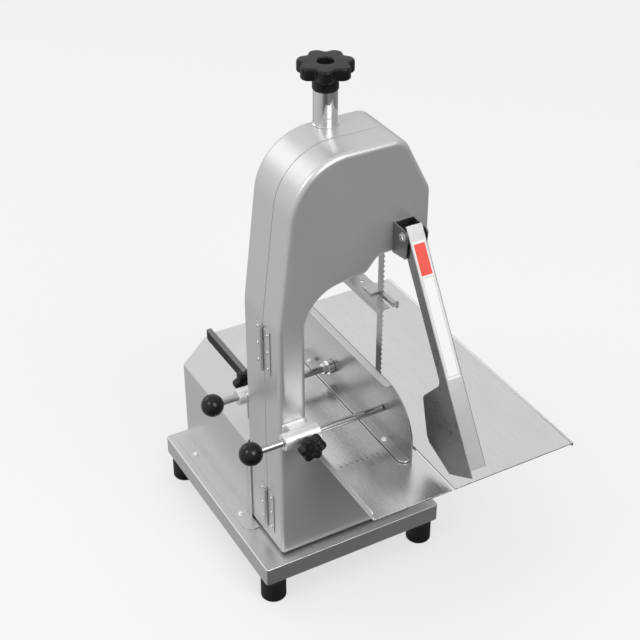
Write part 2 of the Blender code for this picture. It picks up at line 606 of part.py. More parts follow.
# ---------------------------------------------------------------- table
def make_table():
    bottom = TABLE_TOP - TABLE_T
    outline = rounded(rectangle(TABLE_X0, TABLE_Y0, TABLE_X1, TABLE_Y1, 0.003), 3)
    table = add("table_top", prism(outline, "Z", bottom, TABLE_TOP), MIRROR)
    lip_end = FRONT_Y - 0.004
    lip = [(TABLE_Y0 + 0.004, bottom + 0.001, 0.0), (lip_end, bottom + 0.001, 0.0),
           (lip_end, TABLE_TOP + 0.012, 0.001), (TABLE_Y0 + 0.004, TABLE_TOP + 0.012, 0.012)]
    bead = rectangle(TABLE_X1 - 0.0035, bottom - 0.003, TABLE_X1 + 0.0005, TABLE_TOP + 0.0015, 0.0015)
    join(table,
         prism(rounded(lip, 5), "X", TABLE_X0 + 0.0002, TABLE_X0 + 0.0022),
         prism(rounded(bead, 2), "Y", TABLE_Y0 - 0.0005, TABLE_Y1 - 0.001))
    cut(table, block((BLADE_X - SLOT_W / 2, TABLE_Y0 - 0.01, bottom - 0.01),
                     (BLADE_X + SLOT_W / 2, TEETH_Y + BLADE_W + 0.006, TABLE_TOP + 0.01)))

    trim_low, trim_high = COVER_TOP_Z + 0.0005, TABLE_TOP + 0.013
    trim = [(0.225, trim_low, 0.002), (TABLE_Y1 - 0.001, trim_low, 0.006),
            (TABLE_Y1 - 0.001, trim_high, 0.001), (0.225, trim_high, 0.001)]
    add("table_edge_trim", prism(rounded(trim, 3), "X", TABLE_X0 - 0.0095, TABLE_X0 - GAP), RUBBER)

    front = add("table_bracket_front", block((0.110, 0.078, ARM_TOP_Z + GAP), (0.225, 0.138, bottom - GAP)),
                SATIN)
    cut(front, block((0.105, 0.081, ARM_TOP_Z - 0.01), (0.230, 0.135, bottom - GAP - 0.003)))
    rear = add("table_bracket_rear", block((0.095, 0.230, COVER_TOP_Z + GAP), (0.219, 0.330, bottom - GAP)),
               SATIN)
    cut(rear, block((0.090, 0.233, COVER_TOP_Z - 0.01), (0.224, 0.327, bottom - GAP - 0.002)))


# ---------------------------------------------------------------- fence
def make_fence():
    outline = [(FENCE_Y1, FENCE_Z0), (FENCE_Y1, FENCE_Z1)]
    outline += arc(FENCE_Y0 + 0.080, FENCE_Z1 - 0.080, 0.080, 90, 180, 10)
    outline += [(FENCE_Y0, FENCE_Z0)]
    plate = add("fence_plate", prism(outline, "X", FENCE_X, FENCE_X + FENCE_T), MIRROR,
                (FENCE_X, 0.0, FRONT_ROD_Z))
    x_in = FENCE_X + 0.001
    top = rounded([(FENCE_X - 0.011, FENCE_Y0 + 0.068, 0.006), (x_in, FENCE_Y0 + 0.068, 0.0),
                   (x_in, FENCE_Y1, 0.0), (FENCE_X - 0.011, FENCE_Y1, 0.002)], 4)
    foot = rounded([(FENCE_X - 0.016, FENCE_Y0 + 0.004, 0.010), (x_in, FENCE_Y0 + 0.004, 0.0),
                    (x_in, FENCE_Y1, 0.0), (FENCE_X - 0.016, FENCE_Y1, 0.006)], 4)
    join(plate, prism(top, "Z", FENCE_Z1 - 0.0022, FENCE_Z1), prism(foot, "Z", FENCE_Z0, FENCE_Z0 + 0.0022))
    for name, y in (("front", -0.030), ("rear", 0.225)):
        x = FENCE_X - 0.008
        cut(plate, rod("Z", x, y, 0.0028, FENCE_Z0 - 0.01, FENCE_Z0 + 0.01, 12))
        button = [(0.0, TABLE_TOP + GAP), (0.0055, TABLE_TOP + GAP), (0.0055, FENCE_Z0 - GAP),
                  (0.0024, FENCE_Z0 - GAP), (0.0024, FENCE_Z0 + 0.0026), (0.0052, FENCE_Z0 + 0.0026),
                  (0.0040, FENCE_Z0 + 0.0050), (0.0, FENCE_Z0 + 0.0056)]
        add(f"fence_glide_{name}", lathe(button, "Z", x, y, 16), NYLON, (FENCE_X, 0.0, FRONT_ROD_Z))


def make_rod(name, y, z, ball_x, end_x):
    pivot = (end_x, y, z)
    add(f"{name}_rod", rod("X", y, z, ROD_R, ball_x + 0.004, end_x, 16, 0.0008), CHROME, pivot)
    profile = [(0.0, -BALL_R)] + [(BALL_R * math.cos(math.radians(w)), BALL_R * math.sin(math.radians(w)))
                                  for w in range(-72, 73, 18)]
    profile = [(r, ball_x + t) for r, t in profile] + [(0.0, ball_x + BALL_R)]
    ball = add(f"{name}_rod_ball", lathe(profile, "X", y, z, 18), BLACK, pivot)
    cut(ball, rod("X", y, z, ROD_R + GAP, ball_x + 0.0035, ball_x + 0.04, 16))


def make_clamp(name, wall_y, rod_y, rod_z, side):
    """The alloy block that carries a rod, with its plate and bolts, and the star knob that locks it."""
    x0, x1, boss_r = 0.031, 0.096, 0.0145
    knob_x = 0.066
    plate_y = sorted((wall_y + side * GAP, wall_y + side * 0.004))
    low_z, high_z = rod_z - 0.042, rod_z + 0.014
    outline = rounded(rectangle(0.0430, low_z, 0.0870, high_z, 0.004), 3)
    pivot = (x0, rod_y, rod_z)
    clamp = add(f"{name}_rod_bracket", prism(outline, "Y", *plate_y), ALLOY, pivot)
    neck_y = sorted((wall_y + side * 0.003, rod_y))
    bolt_y = sorted((wall_y + side * 0.003, wall_y + side * 0.008))
    bolt_z = (rod_z - 0.021, rod_z - 0.035)
    bolts = [rod("Y", x, z, 0.0045, *bolt_y, 6) for x in (0.0505, 0.0795) for z in bolt_z]
    join(clamp,
         block((0.050, neck_y[0], rod_z - 0.011), (0.082, neck_y[1], rod_z + 0.011)),
         rod("X", rod_y, rod_z, boss_r, x0, x1, 20, 0.0015),
         *bolts)
    hole_y = sorted((rod_y, rod_y + side * 0.03))
    cut(clamp,
        rod("X", rod_y, rod_z, ROD_R + GAP, x0 - 0.01, x1 + 0.01, 16),
        rod("Y", knob_x, rod_z, 0.0044, *hole_y, 16))

    stud_y = sorted((rod_y + side * (ROD_R + 0.001), rod_y + side * 0.026))
    disc_y = sorted((rod_y + side * 0.026, rod_y + side * 0.042))
    knob = add(f"{name}_clamp_knob", prism(star(knob_x, rod_z, 0.0235, 0.0195, 6), "Y", *disc_y), BLACK,
               (knob_x, rod_y, rod_z))
    hub_y = sorted((rod_y + side * 0.018, rod_y + side * 0.027))
    stud = sorted((stud_y[0], stud_y[1] + 0.001)) if side > 0 else sorted((stud_y[0] - 0.001, stud_y[1]))
    join(knob, rod("Y", knob_x, rod_z, 0.011, *hub_y, 24), rod("Y", knob_x, rod_z, 0.0040, *stud, 16))


def make_rods():
    make_rod("front", FRONT_ROD_Y, FRONT_ROD_Z, FRONT_BALL_X, FENCE_X - 0.0010)
    make_rod("rear", REAR_ROD_Y, REAR_ROD_Z, REAR_BALL_X, FENCE_X - GAP)
    nut = rod("X", REAR_ROD_Y, REAR_ROD_Z, 0.0100, FENCE_X - 0.020, FENCE_X - 0.010, 6)
    collar = add("rear_rod_collar", nut, CHROME, (FENCE_X, REAR_ROD_Y, REAR_ROD_Z))
    join(collar, rod("X", REAR_ROD_Y, REAR_ROD_Z, 0.0125, FENCE_X - 0.0105, FENCE_X - GAP))
    cut(collar, rod("X", REAR_ROD_Y, REAR_ROD_Z, ROD_R + GAP, FENCE_X - 0.03, FENCE_X + 0.01))
    make_clamp("front", FRONT_Y, FRONT_ROD_Y, FRONT_ROD_Z, -1)
    make_clamp("rear", BACK_Y, REAR_ROD_Y, REAR_ROD_Z, 1)


# ---------------------------------------------------------------- pusher
def make_pusher():
    ear_x = (PUSHER_X0 - 0.0035, PUSHER_X1 + 0.0015)
    low, high = 0.557, 0.612
    pivot = (PUSHER_X0, PIVOT_Y, PIVOT_Z)
    web = block((ear_x[0], FRONT_Y - 0.0025, low), (ear_x[1] + 0.002, FRONT_Y - GAP, high))
    bracket = add("pusher_bracket", web, STEEL, pivot)
    for x in ear_x:
        ear = rounded([(FRONT_Y - 0.001, high, 0.0), (FRONT_Y - 0.001, low, 0.0),
                       (-0.022, low + 0.006, 0.003), (-0.027, high - 0.002, 0.006)], 3)
        join(bracket, prism(ear, "X", x, x + 0.002))
    cut(bracket, rod("X", PIVOT_Y, PIVOT_Z, 0.0040, ear_x[0] - 0.01, ear_x[1] + 0.01, 16))

    pin = rod("X", PIVOT_Y, PIVOT_Z, 0.0035, ear_x[0] - 0.001, ear_x[1] + 0.007, 16)
    bolt = add("pusher_pivot_bolt", pin, STEEL, pivot)
    join(bolt,
         rod("X", PIVOT_Y, PIVOT_Z, 0.0070, ear_x[0] - 0.0055, ear_x[0] - GAP, 6),
         rod("X", PIVOT_Y, PIVOT_Z, 0.0070, ear_x[1] + 0.002 + GAP, ear_x[1] + 0.007, 6))

    # The channel is drawn hanging straight down from its pivot and then leaned forwards.
    def leaned(y, z):
        dy, dz = y, -z
        c, s = math.cos(PUSHER_LEAN), math.sin(PUSHER_LEAN)
        return (PIVOT_Y + dy * c + dz * s, PIVOT_Z + dz * c - dy * s)

    depth, wall = 0.022, 0.0018
    end = PUSHER_LENGTH
    x0, x1 = PUSHER_X0, PUSHER_X1
    top = -0.014
    web_y = -0.009
    # The left flange widens into a foot, whose lower back edge has teeth from first to last.
    first, last = (0.0990, end - 0.050), (0.0620, end - 0.0025)
    side = rounded([(web_y, top, 0.0), (web_y + depth, top + 0.004, 0.0), (web_y + depth, end - 0.152, 0.014),
                    (0.080, end - 0.132, 0.012), (0.101, end - 0.065, 0.010), (*first, 0.0), (*last, 0.0),
                    (0.036, end - 0.001, 0.0), (web_y, end, 0.0)], 5)
    run = (last[0] - first[0], last[1] - first[1])
    length = math.hypot(*run)
    along = (run[0] / length, run[1] / length)
    teeth, tooth_depth = 12, 0.0032
    notches = []
    for i in range(teeth):
        start = length * i / teeth
        root = start + 0.3 * length / teeth
        if i > 0:
            notches.append((first[0] + along[0] * start, first[1] + along[1] * start))
        notches.append((first[0] + along[0] * root - along[1] * tooth_depth,
                        first[1] + along[1] * root + along[0] * tooth_depth))
    place_after = side.index(first) + 1
    side[place_after:place_after] = notches
    plain = [(web_y, top), (web_y + depth, top + 0.004), (web_y + depth, end - 0.030),
             (web_y + 0.010, end - 0.012), (web_y, end - 0.012)]
    pusher = add("pusher_arm", prism([leaned(y, z) for y, z in side], "X", x0, x0 + wall), SATIN, pivot)
    face = [(web_y, top), (web_y + wall, top), (web_y + wall, end - 0.012), (web_y, end - 0.012)]
    join(pusher,
         prism([leaned(y, z) for y, z in plain], "X", x1 - wall, x1),
         prism([leaned(y, z) for y, z in face], "X", x0 + 0.0005, x1 - 0.0005))
    cut(pusher, rod("X", PIVOT_Y, PIVOT_Z, 0.0039, x0 - 0.01, x1 + 0.01, 16))


# ---------------------------------------------------------------- switch
def make_switch():
    x0 = HOUSE_X1 + GAP
    x1 = x0 + 0.030
    y0, y1, z0, z1 = 0.080, 0.138, 0.052, 0.148
    box = add("switch_box", prism(rounded(rectangle(y0, z0, y1, z1, 0.005), 3), "X", x0, x1), STEEL)
    for name, z, mat in (("start", z1 - 0.026, GREEN), ("stop", z0 + 0.026, RED)):
        y = (y0 + y1) / 2
        cut(box, rod("X", y, z, 0.0120, x1 - 0.014, x1 + 0.01, 24))
        button = lathe([(0.0, x1 - 0.008), (0.0115, x1 - 0.008), (0.0115, x1 + 0.004), (0.0095, x1 + 0.006),
                        (0.0, x1 + 0.006)], "X", y, z, 24)
        add(f"{name}_button", button, mat, (x1, y, z))


def set_origin():
    """Move the machine so that the origin is the bottom centre of its bounding box."""
    bpy.context.view_layer.update()
    graph = bpy.context.evaluated_depsgraph_get()
    points = []
    for obj in bpy.context.scene.objects:
        if obj.type != "MESH" or obj.hide_render:
            continue
        shown = obj.evaluated_get(graph)
        points += [shown.matrix_world @ vertex.co for vertex in shown.data.vertices]
    low = Vector(min(p[i] for p in points) for i in range(3))
    high = Vector(max(p[i] for p in points) for i in range(3))
    machine.location = (-(low.x + high.x) / 2, -(low.y + high.y) / 2, -low.z)


make_base()
housing_body, housing_door = make_housing()
make_door_lock(housing_body, housing_door)
for hinge_level, hinge_z in zip(("lower", "upper"), HINGE_Z):
    make_hinge(hinge_level, hinge_z)
make_motor()
make_drive()
make_tension()
make_guides()
make_table()
make_fence()
make_rods()
make_pusher()
make_switch()
set_origin()
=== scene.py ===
"""The looks of a countertop bone saw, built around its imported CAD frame.

Machine coordinates, in metres: X runs right along the front, Y runs back, Z runs up, and zero is the
front left top corner of the base tray. ZERO is that corner in the frame.
"""
import json
import math

import bmesh
import bpy
from mathutils import Matrix, Vector

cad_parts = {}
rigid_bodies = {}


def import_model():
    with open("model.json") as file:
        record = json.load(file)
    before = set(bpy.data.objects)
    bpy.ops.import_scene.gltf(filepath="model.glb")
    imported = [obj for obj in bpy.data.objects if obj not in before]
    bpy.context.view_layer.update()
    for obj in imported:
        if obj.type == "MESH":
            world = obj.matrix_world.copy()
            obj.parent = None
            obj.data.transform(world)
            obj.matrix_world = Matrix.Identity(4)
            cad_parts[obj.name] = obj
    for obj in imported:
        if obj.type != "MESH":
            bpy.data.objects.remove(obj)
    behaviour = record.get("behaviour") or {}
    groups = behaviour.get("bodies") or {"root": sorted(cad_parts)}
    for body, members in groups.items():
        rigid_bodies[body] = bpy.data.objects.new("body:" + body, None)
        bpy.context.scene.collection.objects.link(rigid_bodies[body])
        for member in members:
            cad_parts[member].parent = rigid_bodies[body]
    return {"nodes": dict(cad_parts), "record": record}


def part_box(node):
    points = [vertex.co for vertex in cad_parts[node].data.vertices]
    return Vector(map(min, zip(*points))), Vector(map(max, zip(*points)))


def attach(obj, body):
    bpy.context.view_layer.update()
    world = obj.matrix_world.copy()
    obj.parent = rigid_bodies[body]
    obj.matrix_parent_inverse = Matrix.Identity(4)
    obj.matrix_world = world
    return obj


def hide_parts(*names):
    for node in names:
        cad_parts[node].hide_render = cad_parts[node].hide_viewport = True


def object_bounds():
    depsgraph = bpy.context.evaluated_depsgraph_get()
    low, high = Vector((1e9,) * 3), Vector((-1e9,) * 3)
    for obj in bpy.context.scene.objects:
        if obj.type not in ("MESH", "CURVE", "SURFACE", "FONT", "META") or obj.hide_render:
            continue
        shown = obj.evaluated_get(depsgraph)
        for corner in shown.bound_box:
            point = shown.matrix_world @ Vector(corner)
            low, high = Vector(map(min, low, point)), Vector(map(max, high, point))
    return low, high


for old in list(bpy.data.objects):
    bpy.data.objects.remove(old, do_unlink=True)
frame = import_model()
CAD_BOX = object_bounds()

# ------------ places read from the frame
ZERO = Vector((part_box("base_tray")[0].x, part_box("base_tray")[0].y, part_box("base_tray")[1].z))


def span(node):
    """The lowest and highest corners of a CAD node in machine coordinates."""
    low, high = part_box(node)
    return low - ZERO, high - ZERO


def middle(node):
    """The X, Y and Z of a CAD node's centre in machine coordinates."""
    return [(a + b) / 2 for a, b in zip(*span(node))]


GAP = 0.0003                      # air left between pieces that touch
SHEET = 0.002                     # thickness of the tray, the housing and the motor cover
SEAM_GAP = 0.0005                 # how far each half stays from the seam's middle
CUT = 0.01                        # how far a cutting tool reaches past what it cuts
EDGE_R = 0.009                    # rounding of the housing's front and back edges
DOOR, BODY, TRAY = span("housing_door"), span("housing_body"), span("base_tray")
FRONT_Y, BACK_Y = DOOR[0].y, BODY[1].y
SEAM_Y = DOOR[1].y + GAP
HOUSE_X0, HOUSE_Z0, HOUSE_Z1 = DOOR[0].x, DOOR[0].z, DOOR[1].z
HOUSE_X1 = 0.311                  # right side, without the lock's lug
COLUMN_X1, ARM_TOP_Z, HEAD_BOTTOM_Z = 0.0895, 0.198, 0.555
BLADE = span("blade")
BLADE_T = 0.0006
TEETH_Y, BLADE_BACK_Y = BLADE[0].y, BLADE[1].y
BLADE_X = BLADE[1].x
LOWER = span("lower_wheel")
WHEEL_R = (LOWER[1].x - LOWER[0].x) / 2
WHEEL_X, WHEEL_Y, LOWER_Z = middle("lower_wheel")
UPPER_Z = middle("upper_wheel")[2]
TUBE, KNOB = span("tension_tube"), span("tension_knob")
TENSION_X, TENSION_Y, _ = middle("tension_tube")
TABLE = span("table_top")
TABLE_TOP, TABLE_T = 0.224, 0.0025
FENCE = span("fence_plate")
FENCE_T = 0.0025
FENCE_X = FENCE[1].x - FENCE_T
PIVOT_Y, PIVOT_Z = -0.013, 0.600
PUSHER = span("pusher_arm")
PUSHER_LEAN, PUSHER_LENGTH = math.radians(32.0), 0.390
PUSHER_FACE = -0.009              # the channel's front face, from the pivot


# ------------ materials
NOISE_LOW, NOISE_HIGH = 0.75, 1.25       # the stretch of two noises' sum that a surface's range covers
BUMP_DEPTH = 0.0002


def node(tree, kind, **values):
    """A new shader node with some of its inputs set."""
    made = tree.nodes.new(kind)
    for key, value in values.items():
        made.inputs[key].default_value = value
    return made


def surface(name, color, roughness, metallic=0.0, grain=(60, 60, 60), vary=0.06, blotch=9.0, bump=0.04,
            specular=0.5):
    """A Principled material whose colour, roughness and bump vary with grain and with broad patches.

    roughness is its (low, high) range, grain the noise's scale along X, Y and Z, so unequal values
    give brushed lines, and vary the share by which the colour changes.
    """
    mat = bpy.data.materials.new(name)
    mat.use_nodes = True
    tree = mat.node_tree
    link = tree.links.new
    shader = tree.nodes["Principled BSDF"]
    shader.inputs["Metallic"].default_value = metallic
    shader.inputs["Specular IOR Level"].default_value = specular
    place = node(tree, "ShaderNodeTexCoord")
    stretch = node(tree, "ShaderNodeMapping", Scale=grain)
    fine = node(tree, "ShaderNodeTexNoise", Scale=1.0, Detail=4.0, Roughness=0.6)
    broad = node(tree, "ShaderNodeTexNoise", Scale=blotch, Detail=3.0, Roughness=0.5)
    link(place.outputs["Object"], stretch.inputs["Vector"])
    link(stretch.outputs["Vector"], fine.inputs["Vector"])
    link(place.outputs["Object"], broad.inputs["Vector"])

    both = node(tree, "ShaderNodeMath")
    both.operation = "ADD"
    link(fine.outputs["Fac"], both.inputs[0])
    link(broad.outputs["Fac"], both.inputs[1])
    tone = node(tree, "ShaderNodeValToRGB")
    tone.color_ramp.elements[0].position = NOISE_LOW / 2
    tone.color_ramp.elements[1].position = NOISE_HIGH / 2
    tone.color_ramp.elements[0].color = (*[max(c * (1 - vary), 0.0) for c in color], 1.0)
    tone.color_ramp.elements[1].color = (*[min(c * (1 + vary), 1.0) for c in color], 1.0)
    half = node(tree, "ShaderNodeMath")
    half.operation = "MULTIPLY"
    half.inputs[1].default_value = 0.5
    link(both.outputs[0], half.inputs[0])
    link(half.outputs[0], tone.inputs["Fac"])
    link(tone.outputs["Color"], shader.inputs["Base Color"])

    rough = node(tree, "ShaderNodeMapRange")
    rough.inputs["From Min"].default_value = NOISE_LOW
    rough.inputs["From Max"].default_value = NOISE_HIGH
    rough.inputs["To Min"].default_value = roughness[0]
    rough.inputs["To Max"].default_value = roughness[1]
    link(both.outputs[0], rough.inputs["Value"])
    link(rough.outputs["Result"], shader.inputs["Roughness"])

    relief = node(tree, "ShaderNodeBump", Strength=bump, Distance=BUMP_DEPTH)
    link(fine.outputs["Fac"], relief.inputs["Height"])
    link(relief.outputs["Normal"], shader.inputs["Normal"])
    return mat


SATIN = surface("satin_steel", (0.57, 0.57, 0.57), (0.30, 0.38), 0.62, (900, 900, 900), 0.03, 5.0, 0.05)
BRUSHED = surface("brushed_sheet", (0.60, 0.60, 0.595), (0.30, 0.40), 0.95, (40, 40, 1100), 0.04, 6.0, 0.06)
POLISHED = surface("polished_steel", (0.70, 0.70, 0.695), (0.22, 0.31), 1.0, (260, 20, 260), 0.035, 6.0,
                   0.006)
# Painted shade: the fence plate's steel is darker than the brushed sheet of its own flanges, standing in for
# the dark reflection on its side.
FENCE_STEEL_PAINTED_SHADE = surface("fence_steel_painted_shade", (0.33, 0.33, 0.328), (0.26, 0.36), 1.0, (300, 20, 300), 0.05, 7.0, 0.01)
# Painted shade: the pusher's side flanges get a darker steel than its web of the same sheet, standing in for
# the shade on that side.
PUSHER_STEEL_PAINTED_SHADE = surface("pusher_steel_painted_shade", (0.28, 0.28, 0.28), (0.24, 0.36), 1.0, (500, 60, 60), 0.08, 9.0, 0.04)
CHROME = surface("chrome", (0.72, 0.72, 0.73), (0.05, 0.10), 1.0, (300, 300, 300), 0.02, 12.0, 0.01)
CAST = surface("cast_alloy", (0.80, 0.80, 0.79), (0.34, 0.50), 0.75, (420, 420, 420), 0.06, 30.0, 0.22)
DARK = surface("dark_steel", (0.30, 0.30, 0.305), (0.26, 0.40), 1.0, (300, 300, 900), 0.08, 20.0, 0.08)
BLADE_STEEL = surface("blade_steel", (0.42, 0.42, 0.43), (0.24, 0.38), 1.0, (600, 600, 40), 0.08, 25.0, 0.06)
BLACK = surface("black_plastic", (0.006, 0.006, 0.006), (0.08, 0.16), 0.0, (500, 500, 500), 0.20, 25.0, 0.03,
                specular=0.32)
KNOB_BLACK = surface("moulded_black", (0.008, 0.008, 0.008), (0.24, 0.36), 0.0, (900, 900, 900), 0.20, 30.0,
                     0.12, specular=0.24)
RUBBER = surface("rubber", (0.009, 0.009, 0.009), (0.45, 0.60), 0.0, (700, 700, 700), 0.25, 40.0, 0.25,
                 specular=0.25)
MOTOR_PAINT = surface("motor_paint", (0.085, 0.10, 0.12), (0.40, 0.55), 0.0, (350, 350, 350), 0.10, 20.0, 0.2)
NYLON = surface("white_nylon", (0.78, 0.78, 0.76), (0.38, 0.52), 0.0, (400, 400, 400), 0.04, 20.0, 0.08)
GREEN = surface("green_plastic", (0.02, 0.34, 0.08), (0.20, 0.30), 0.0, (400, 400, 400), 0.05, 20.0, 0.03)
RED = surface("red_plastic", (0.60, 0.02, 0.02), (0.20, 0.30), 0.0, (400, 400, 400), 0.05, 20.0, 0.03)
HEM_GREY = surface("hem_grey", (0.17, 0.17, 0.17), (0.45, 0.58), 0.0, (300, 300, 300), 0.10, 20.0, 0.12,
                   specular=0.3)
LABEL = surface("label_white", (0.82, 0.82, 0.81), (0.30, 0.42), 0.0, (500, 500, 500), 0.02, 15.0, 0.02)
LABEL_RED = surface("label_red", (0.78, 0.075, 0.05), (0.30, 0.42), 0.0, (500, 500, 500), 0.04, 15.0, 0.02)
ROD_CHROME = surface("rod_chrome", (0.50, 0.50, 0.51), (0.06, 0.12), 1.0, (60, 500, 500), 0.03, 12.0, 0.01)
INK = surface("etched_mark", (0.10, 0.10, 0.105), (0.45, 0.60), 0.0, (600, 600, 600), 0.10, 30.0, 0.02)
MATERIALS = {"satin_steel": SATIN, "polished_steel": POLISHED, "chrome": CHROME, "cast_alloy": CAST,
             "dark_steel": DARK, "blade_steel": BLADE_STEEL, "black_plastic": BLACK, "rubber": RUBBER,
             "motor_paint": MOTOR_PAINT, "white_nylon": NYLON, "green_plastic": GREEN, "red_plastic": RED}


# ------------ outlines
def rounded(corners, degrees=6.0):
    """A closed outline from corners (x, y, radius), with a point about every few degrees of each arc."""
    points = []
    count = len(corners)
    for i, (x, y, radius) in enumerate(corners):
        here = Vector((x, y))
        to_prev = (Vector(corners[i - 1][:2]) - here).normalized()
        to_next = (Vector(corners[(i + 1) % count][:2]) - here).normalized()
        if radius <= 0.0:
            points.append((x, y))
            continue
        half = to_prev.angle(to_next) / 2
        steps = max(2, math.ceil((180.0 - math.degrees(2 * half)) / degrees - 0.02))
        reach = radius / math.tan(half)
        centre = here + (to_prev + to_next).normalized() * (radius / math.sin(half))
        first = here + to_prev * reach - centre
        last = here + to_next * reach - centre
        turn = first.angle_signed(last)
        for k in range(steps + 1):
            spoke = first.copy()
            spoke.rotate(Matrix.Rotation(-turn * k / steps, 2))
            points.append(tuple(centre + spoke))
    return points


def inset(corners, depth):
    """The corners of a counter-clockwise outline moved inwards by depth."""
    moved = []
    count = len(corners)
    for i, (x, y, radius) in enumerate(corners):
        here = Vector((x, y))
        before = (here - Vector(corners[i - 1][:2])).normalized()
        after = (Vector(corners[(i + 1) % count][:2]) - here).normalized()
        normal_a = Vector((-before.y, before.x))
        normal_b = Vector((-after.y, after.x))
        point = here + (normal_a + normal_b) * (depth / (1.0 + normal_a.dot(normal_b)))
        convex = before.cross(after) > 0
        new_radius = max(radius - depth, 0.0003) if convex else radius + depth
        moved.append((point.x, point.y, new_radius))
    return moved


def rectangle(x0, y0, x1, y1, radius=0.0):
    """The corners of a rectangle, with one radius for all four."""
    return [(x0, y0, radius), (x1, y0, radius), (x1, y1, radius), (x0, y1, radius)]


def scallops(cx, cy, tip_r, root_r, lobes, sharpness=1.0, points_per_lobe=20, turned=0.0):
    """A hand knob's outline: broad lobes with narrower hollows as sharpness grows, turned by degrees."""
    points = []
    total = lobes * points_per_lobe
    for i in range(total):
        angle = 2 * math.pi * i / total
        hollow = (0.5 - 0.5 * math.cos(lobes * angle)) ** sharpness
        radius = tip_r - (tip_r - root_r) * hollow
        angle += math.radians(turned)
        points.append((cx + radius * math.cos(angle), cy + radius * math.sin(angle)))
    return points


def circle(cx, cy, radius, count):
    return [(cx + radius * math.cos(2 * math.pi * i / count), cy + radius * math.sin(2 * math.pi * i / count))
            for i in range(count)]


def scaled(outline, cx, cy, share):
    return [(cx + (x - cx) * share, cy + (y - cy) * share) for x, y in outline]


# ------------ solids
def place(axis, a, b, t):
    """A point from its place t along an axis and its two other coordinates, in the order X, Y, Z."""
    return {"X": (t, a, b), "Y": (a, t, b), "Z": (a, b, t)}[axis]


def loft(sections, axis):
    """A closed solid through (outline, place along the axis) sections of equal point counts."""
    bm = bmesh.new()
    rings = [[bm.verts.new(place(axis, a, b, t)) for a, b in outline] for outline, t in sections]
    bm.faces.new(rings[0])
    bm.faces.new(rings[-1])
    count = len(rings[0])
    for here, after in zip(rings, rings[1:]):
        for i in range(count):
            j = (i + 1) % count
            bm.faces.new((here[i], here[j], after[j], after[i]))
    return bm


def prism(outline, axis, low, high):
    return loft([(outline, low), (outline, high)], axis)


def block(low, high):
    return prism([(low[0], low[1]), (high[0], low[1]), (high[0], high[1]), (low[0], high[1])], "Z", low[2],
                 high[2])


def lathe(profile, axis, a, b, segments=48):
    """A turned solid from (radius, place along the axis) points in order round its outline."""
    bm = bmesh.new()
    rings = []
    for radius, t in profile:
        count = 1 if radius < 1e-9 else segments
        rings.append([bm.verts.new(place(axis, a + radius * math.cos(2 * math.pi * i / segments),
                                         b + radius * math.sin(2 * math.pi * i / segments), t))
                      for i in range(count)])
    for i, ring in enumerate(rings):
        other = rings[(i + 1) % len(rings)]
        if len(ring) == 1 and len(other) == 1:
            continue
        for k in range(segments):
            n = (k + 1) % segments
            if len(ring) == 1:
                bm.faces.new((ring[0], other[k], other[n]))
            elif len(other) == 1:
                bm.faces.new((ring[k], ring[n], other[0]))
            else:
                bm.faces.new((ring[k], ring[n], other[n], other[k]))
    return bm


def rod(axis, a, b, radius, low, high, segments=48, edge=0.0):
    """A round bar whose ends have a small rounded edge."""
    if edge == 0.0:
        return lathe([(0.0, low), (radius, low), (radius, high), (0.0, high)], axis, a, b, segments)
    turns = [math.radians(w) for w in (0, 30, 60, 90)]
    start = [(radius - edge * (1 - math.sin(w)), low + edge * (1 - math.cos(w))) for w in turns]
    end = [(r, high + low - t) for r, t in reversed(start)]
    return lathe([(0.0, low)] + start + end + [(0.0, high)], axis, a, b, segments)


def ring(axis, a, b, outer, inner, low, high, segments=48):
    return lathe([(inner, low), (outer, low), (outer, high), (inner, high)], axis, a, b, segments)


def together(*solids):
    """One mesh that holds several closed solids."""
    joined = bmesh.new()
    for bm in solids:
        bmesh.ops.recalc_face_normals(bm, faces=bm.faces)
        mesh = bpy.data.meshes.new("part")
        bm.to_mesh(mesh)
        bm.free()
        joined.from_mesh(mesh)
        bpy.data.meshes.remove(mesh)
    return joined


def put(name, data):
    """A new object in the scene."""
    obj = bpy.data.objects.new(name, data)
    bpy.context.scene.collection.objects.link(obj)
    return obj


def carve(base, *tools):
    """The base with the tools cut out of it."""
    made = []
    for bm in (base, *tools):
        bmesh.ops.recalc_face_normals(bm, faces=bm.faces)
        mesh = bpy.data.meshes.new("carve")
        bm.to_mesh(mesh)
        bm.free()
        made.append(put("carve", mesh))
    for tool in made[1:]:
        step = made[0].modifiers.new("cut", "BOOLEAN")
        step.operation = "DIFFERENCE"
        step.solver = "EXACT"
        step.object = tool
    bpy.context.view_layer.update()
    shown = made[0].evaluated_get(bpy.context.evaluated_depsgraph_get())
    mesh = bpy.data.meshes.new_from_object(shown)
    result = bmesh.new()
    result.from_mesh(mesh)
    for obj in made:
        bpy.data.objects.remove(obj, do_unlink=True)
    return result


def piece(name, bm, body, mat, stands_for=(), bevel=0.0, sharp=32.0):
    """A finished piece in the frame, riding on a body and standing for CAD nodes."""
    bmesh.ops.recalc_face_normals(bm, faces=bm.faces)
    bm.transform(Matrix.Translation(ZERO))
    mesh = bpy.data.meshes.new(name)
    bm.to_mesh(mesh)
    bm.free()
    mesh.materials.append(mat)
    mesh.shade_smooth()
    mesh.set_sharp_from_angle(angle=math.radians(sharp))
    obj = put(name, mesh)
    if bevel > 0.0:
        edge = obj.modifiers.new("edge", "BEVEL")
        edge.width = bevel
        edge.segments = 2
        edge.limit_method = "ANGLE"
        edge.angle_limit = math.radians(sharp)
        edge.use_clamp_overlap = True
    weigh = obj.modifiers.new("normals", "WEIGHTED_NORMAL")
    weigh.keep_sharp = True
    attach(obj, body)
    if stands_for:
        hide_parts(*stands_for)
    return obj


SLOT_OF = {entry["node"]: entry["material_slot"] for entry in frame["record"]["subparts"]}
BODY_OF = {name: body for body, names in frame["record"]["behaviour"]["bodies"].items() for name in names}


def stand_in(name, bm, mat, bevel=0.0, sharp=32.0):
    """A piece that stands for the CAD node of the same name."""
    return piece(f"{name}_fine", bm, BODY_OF[name], mat, (name,), bevel, sharp=sharp)


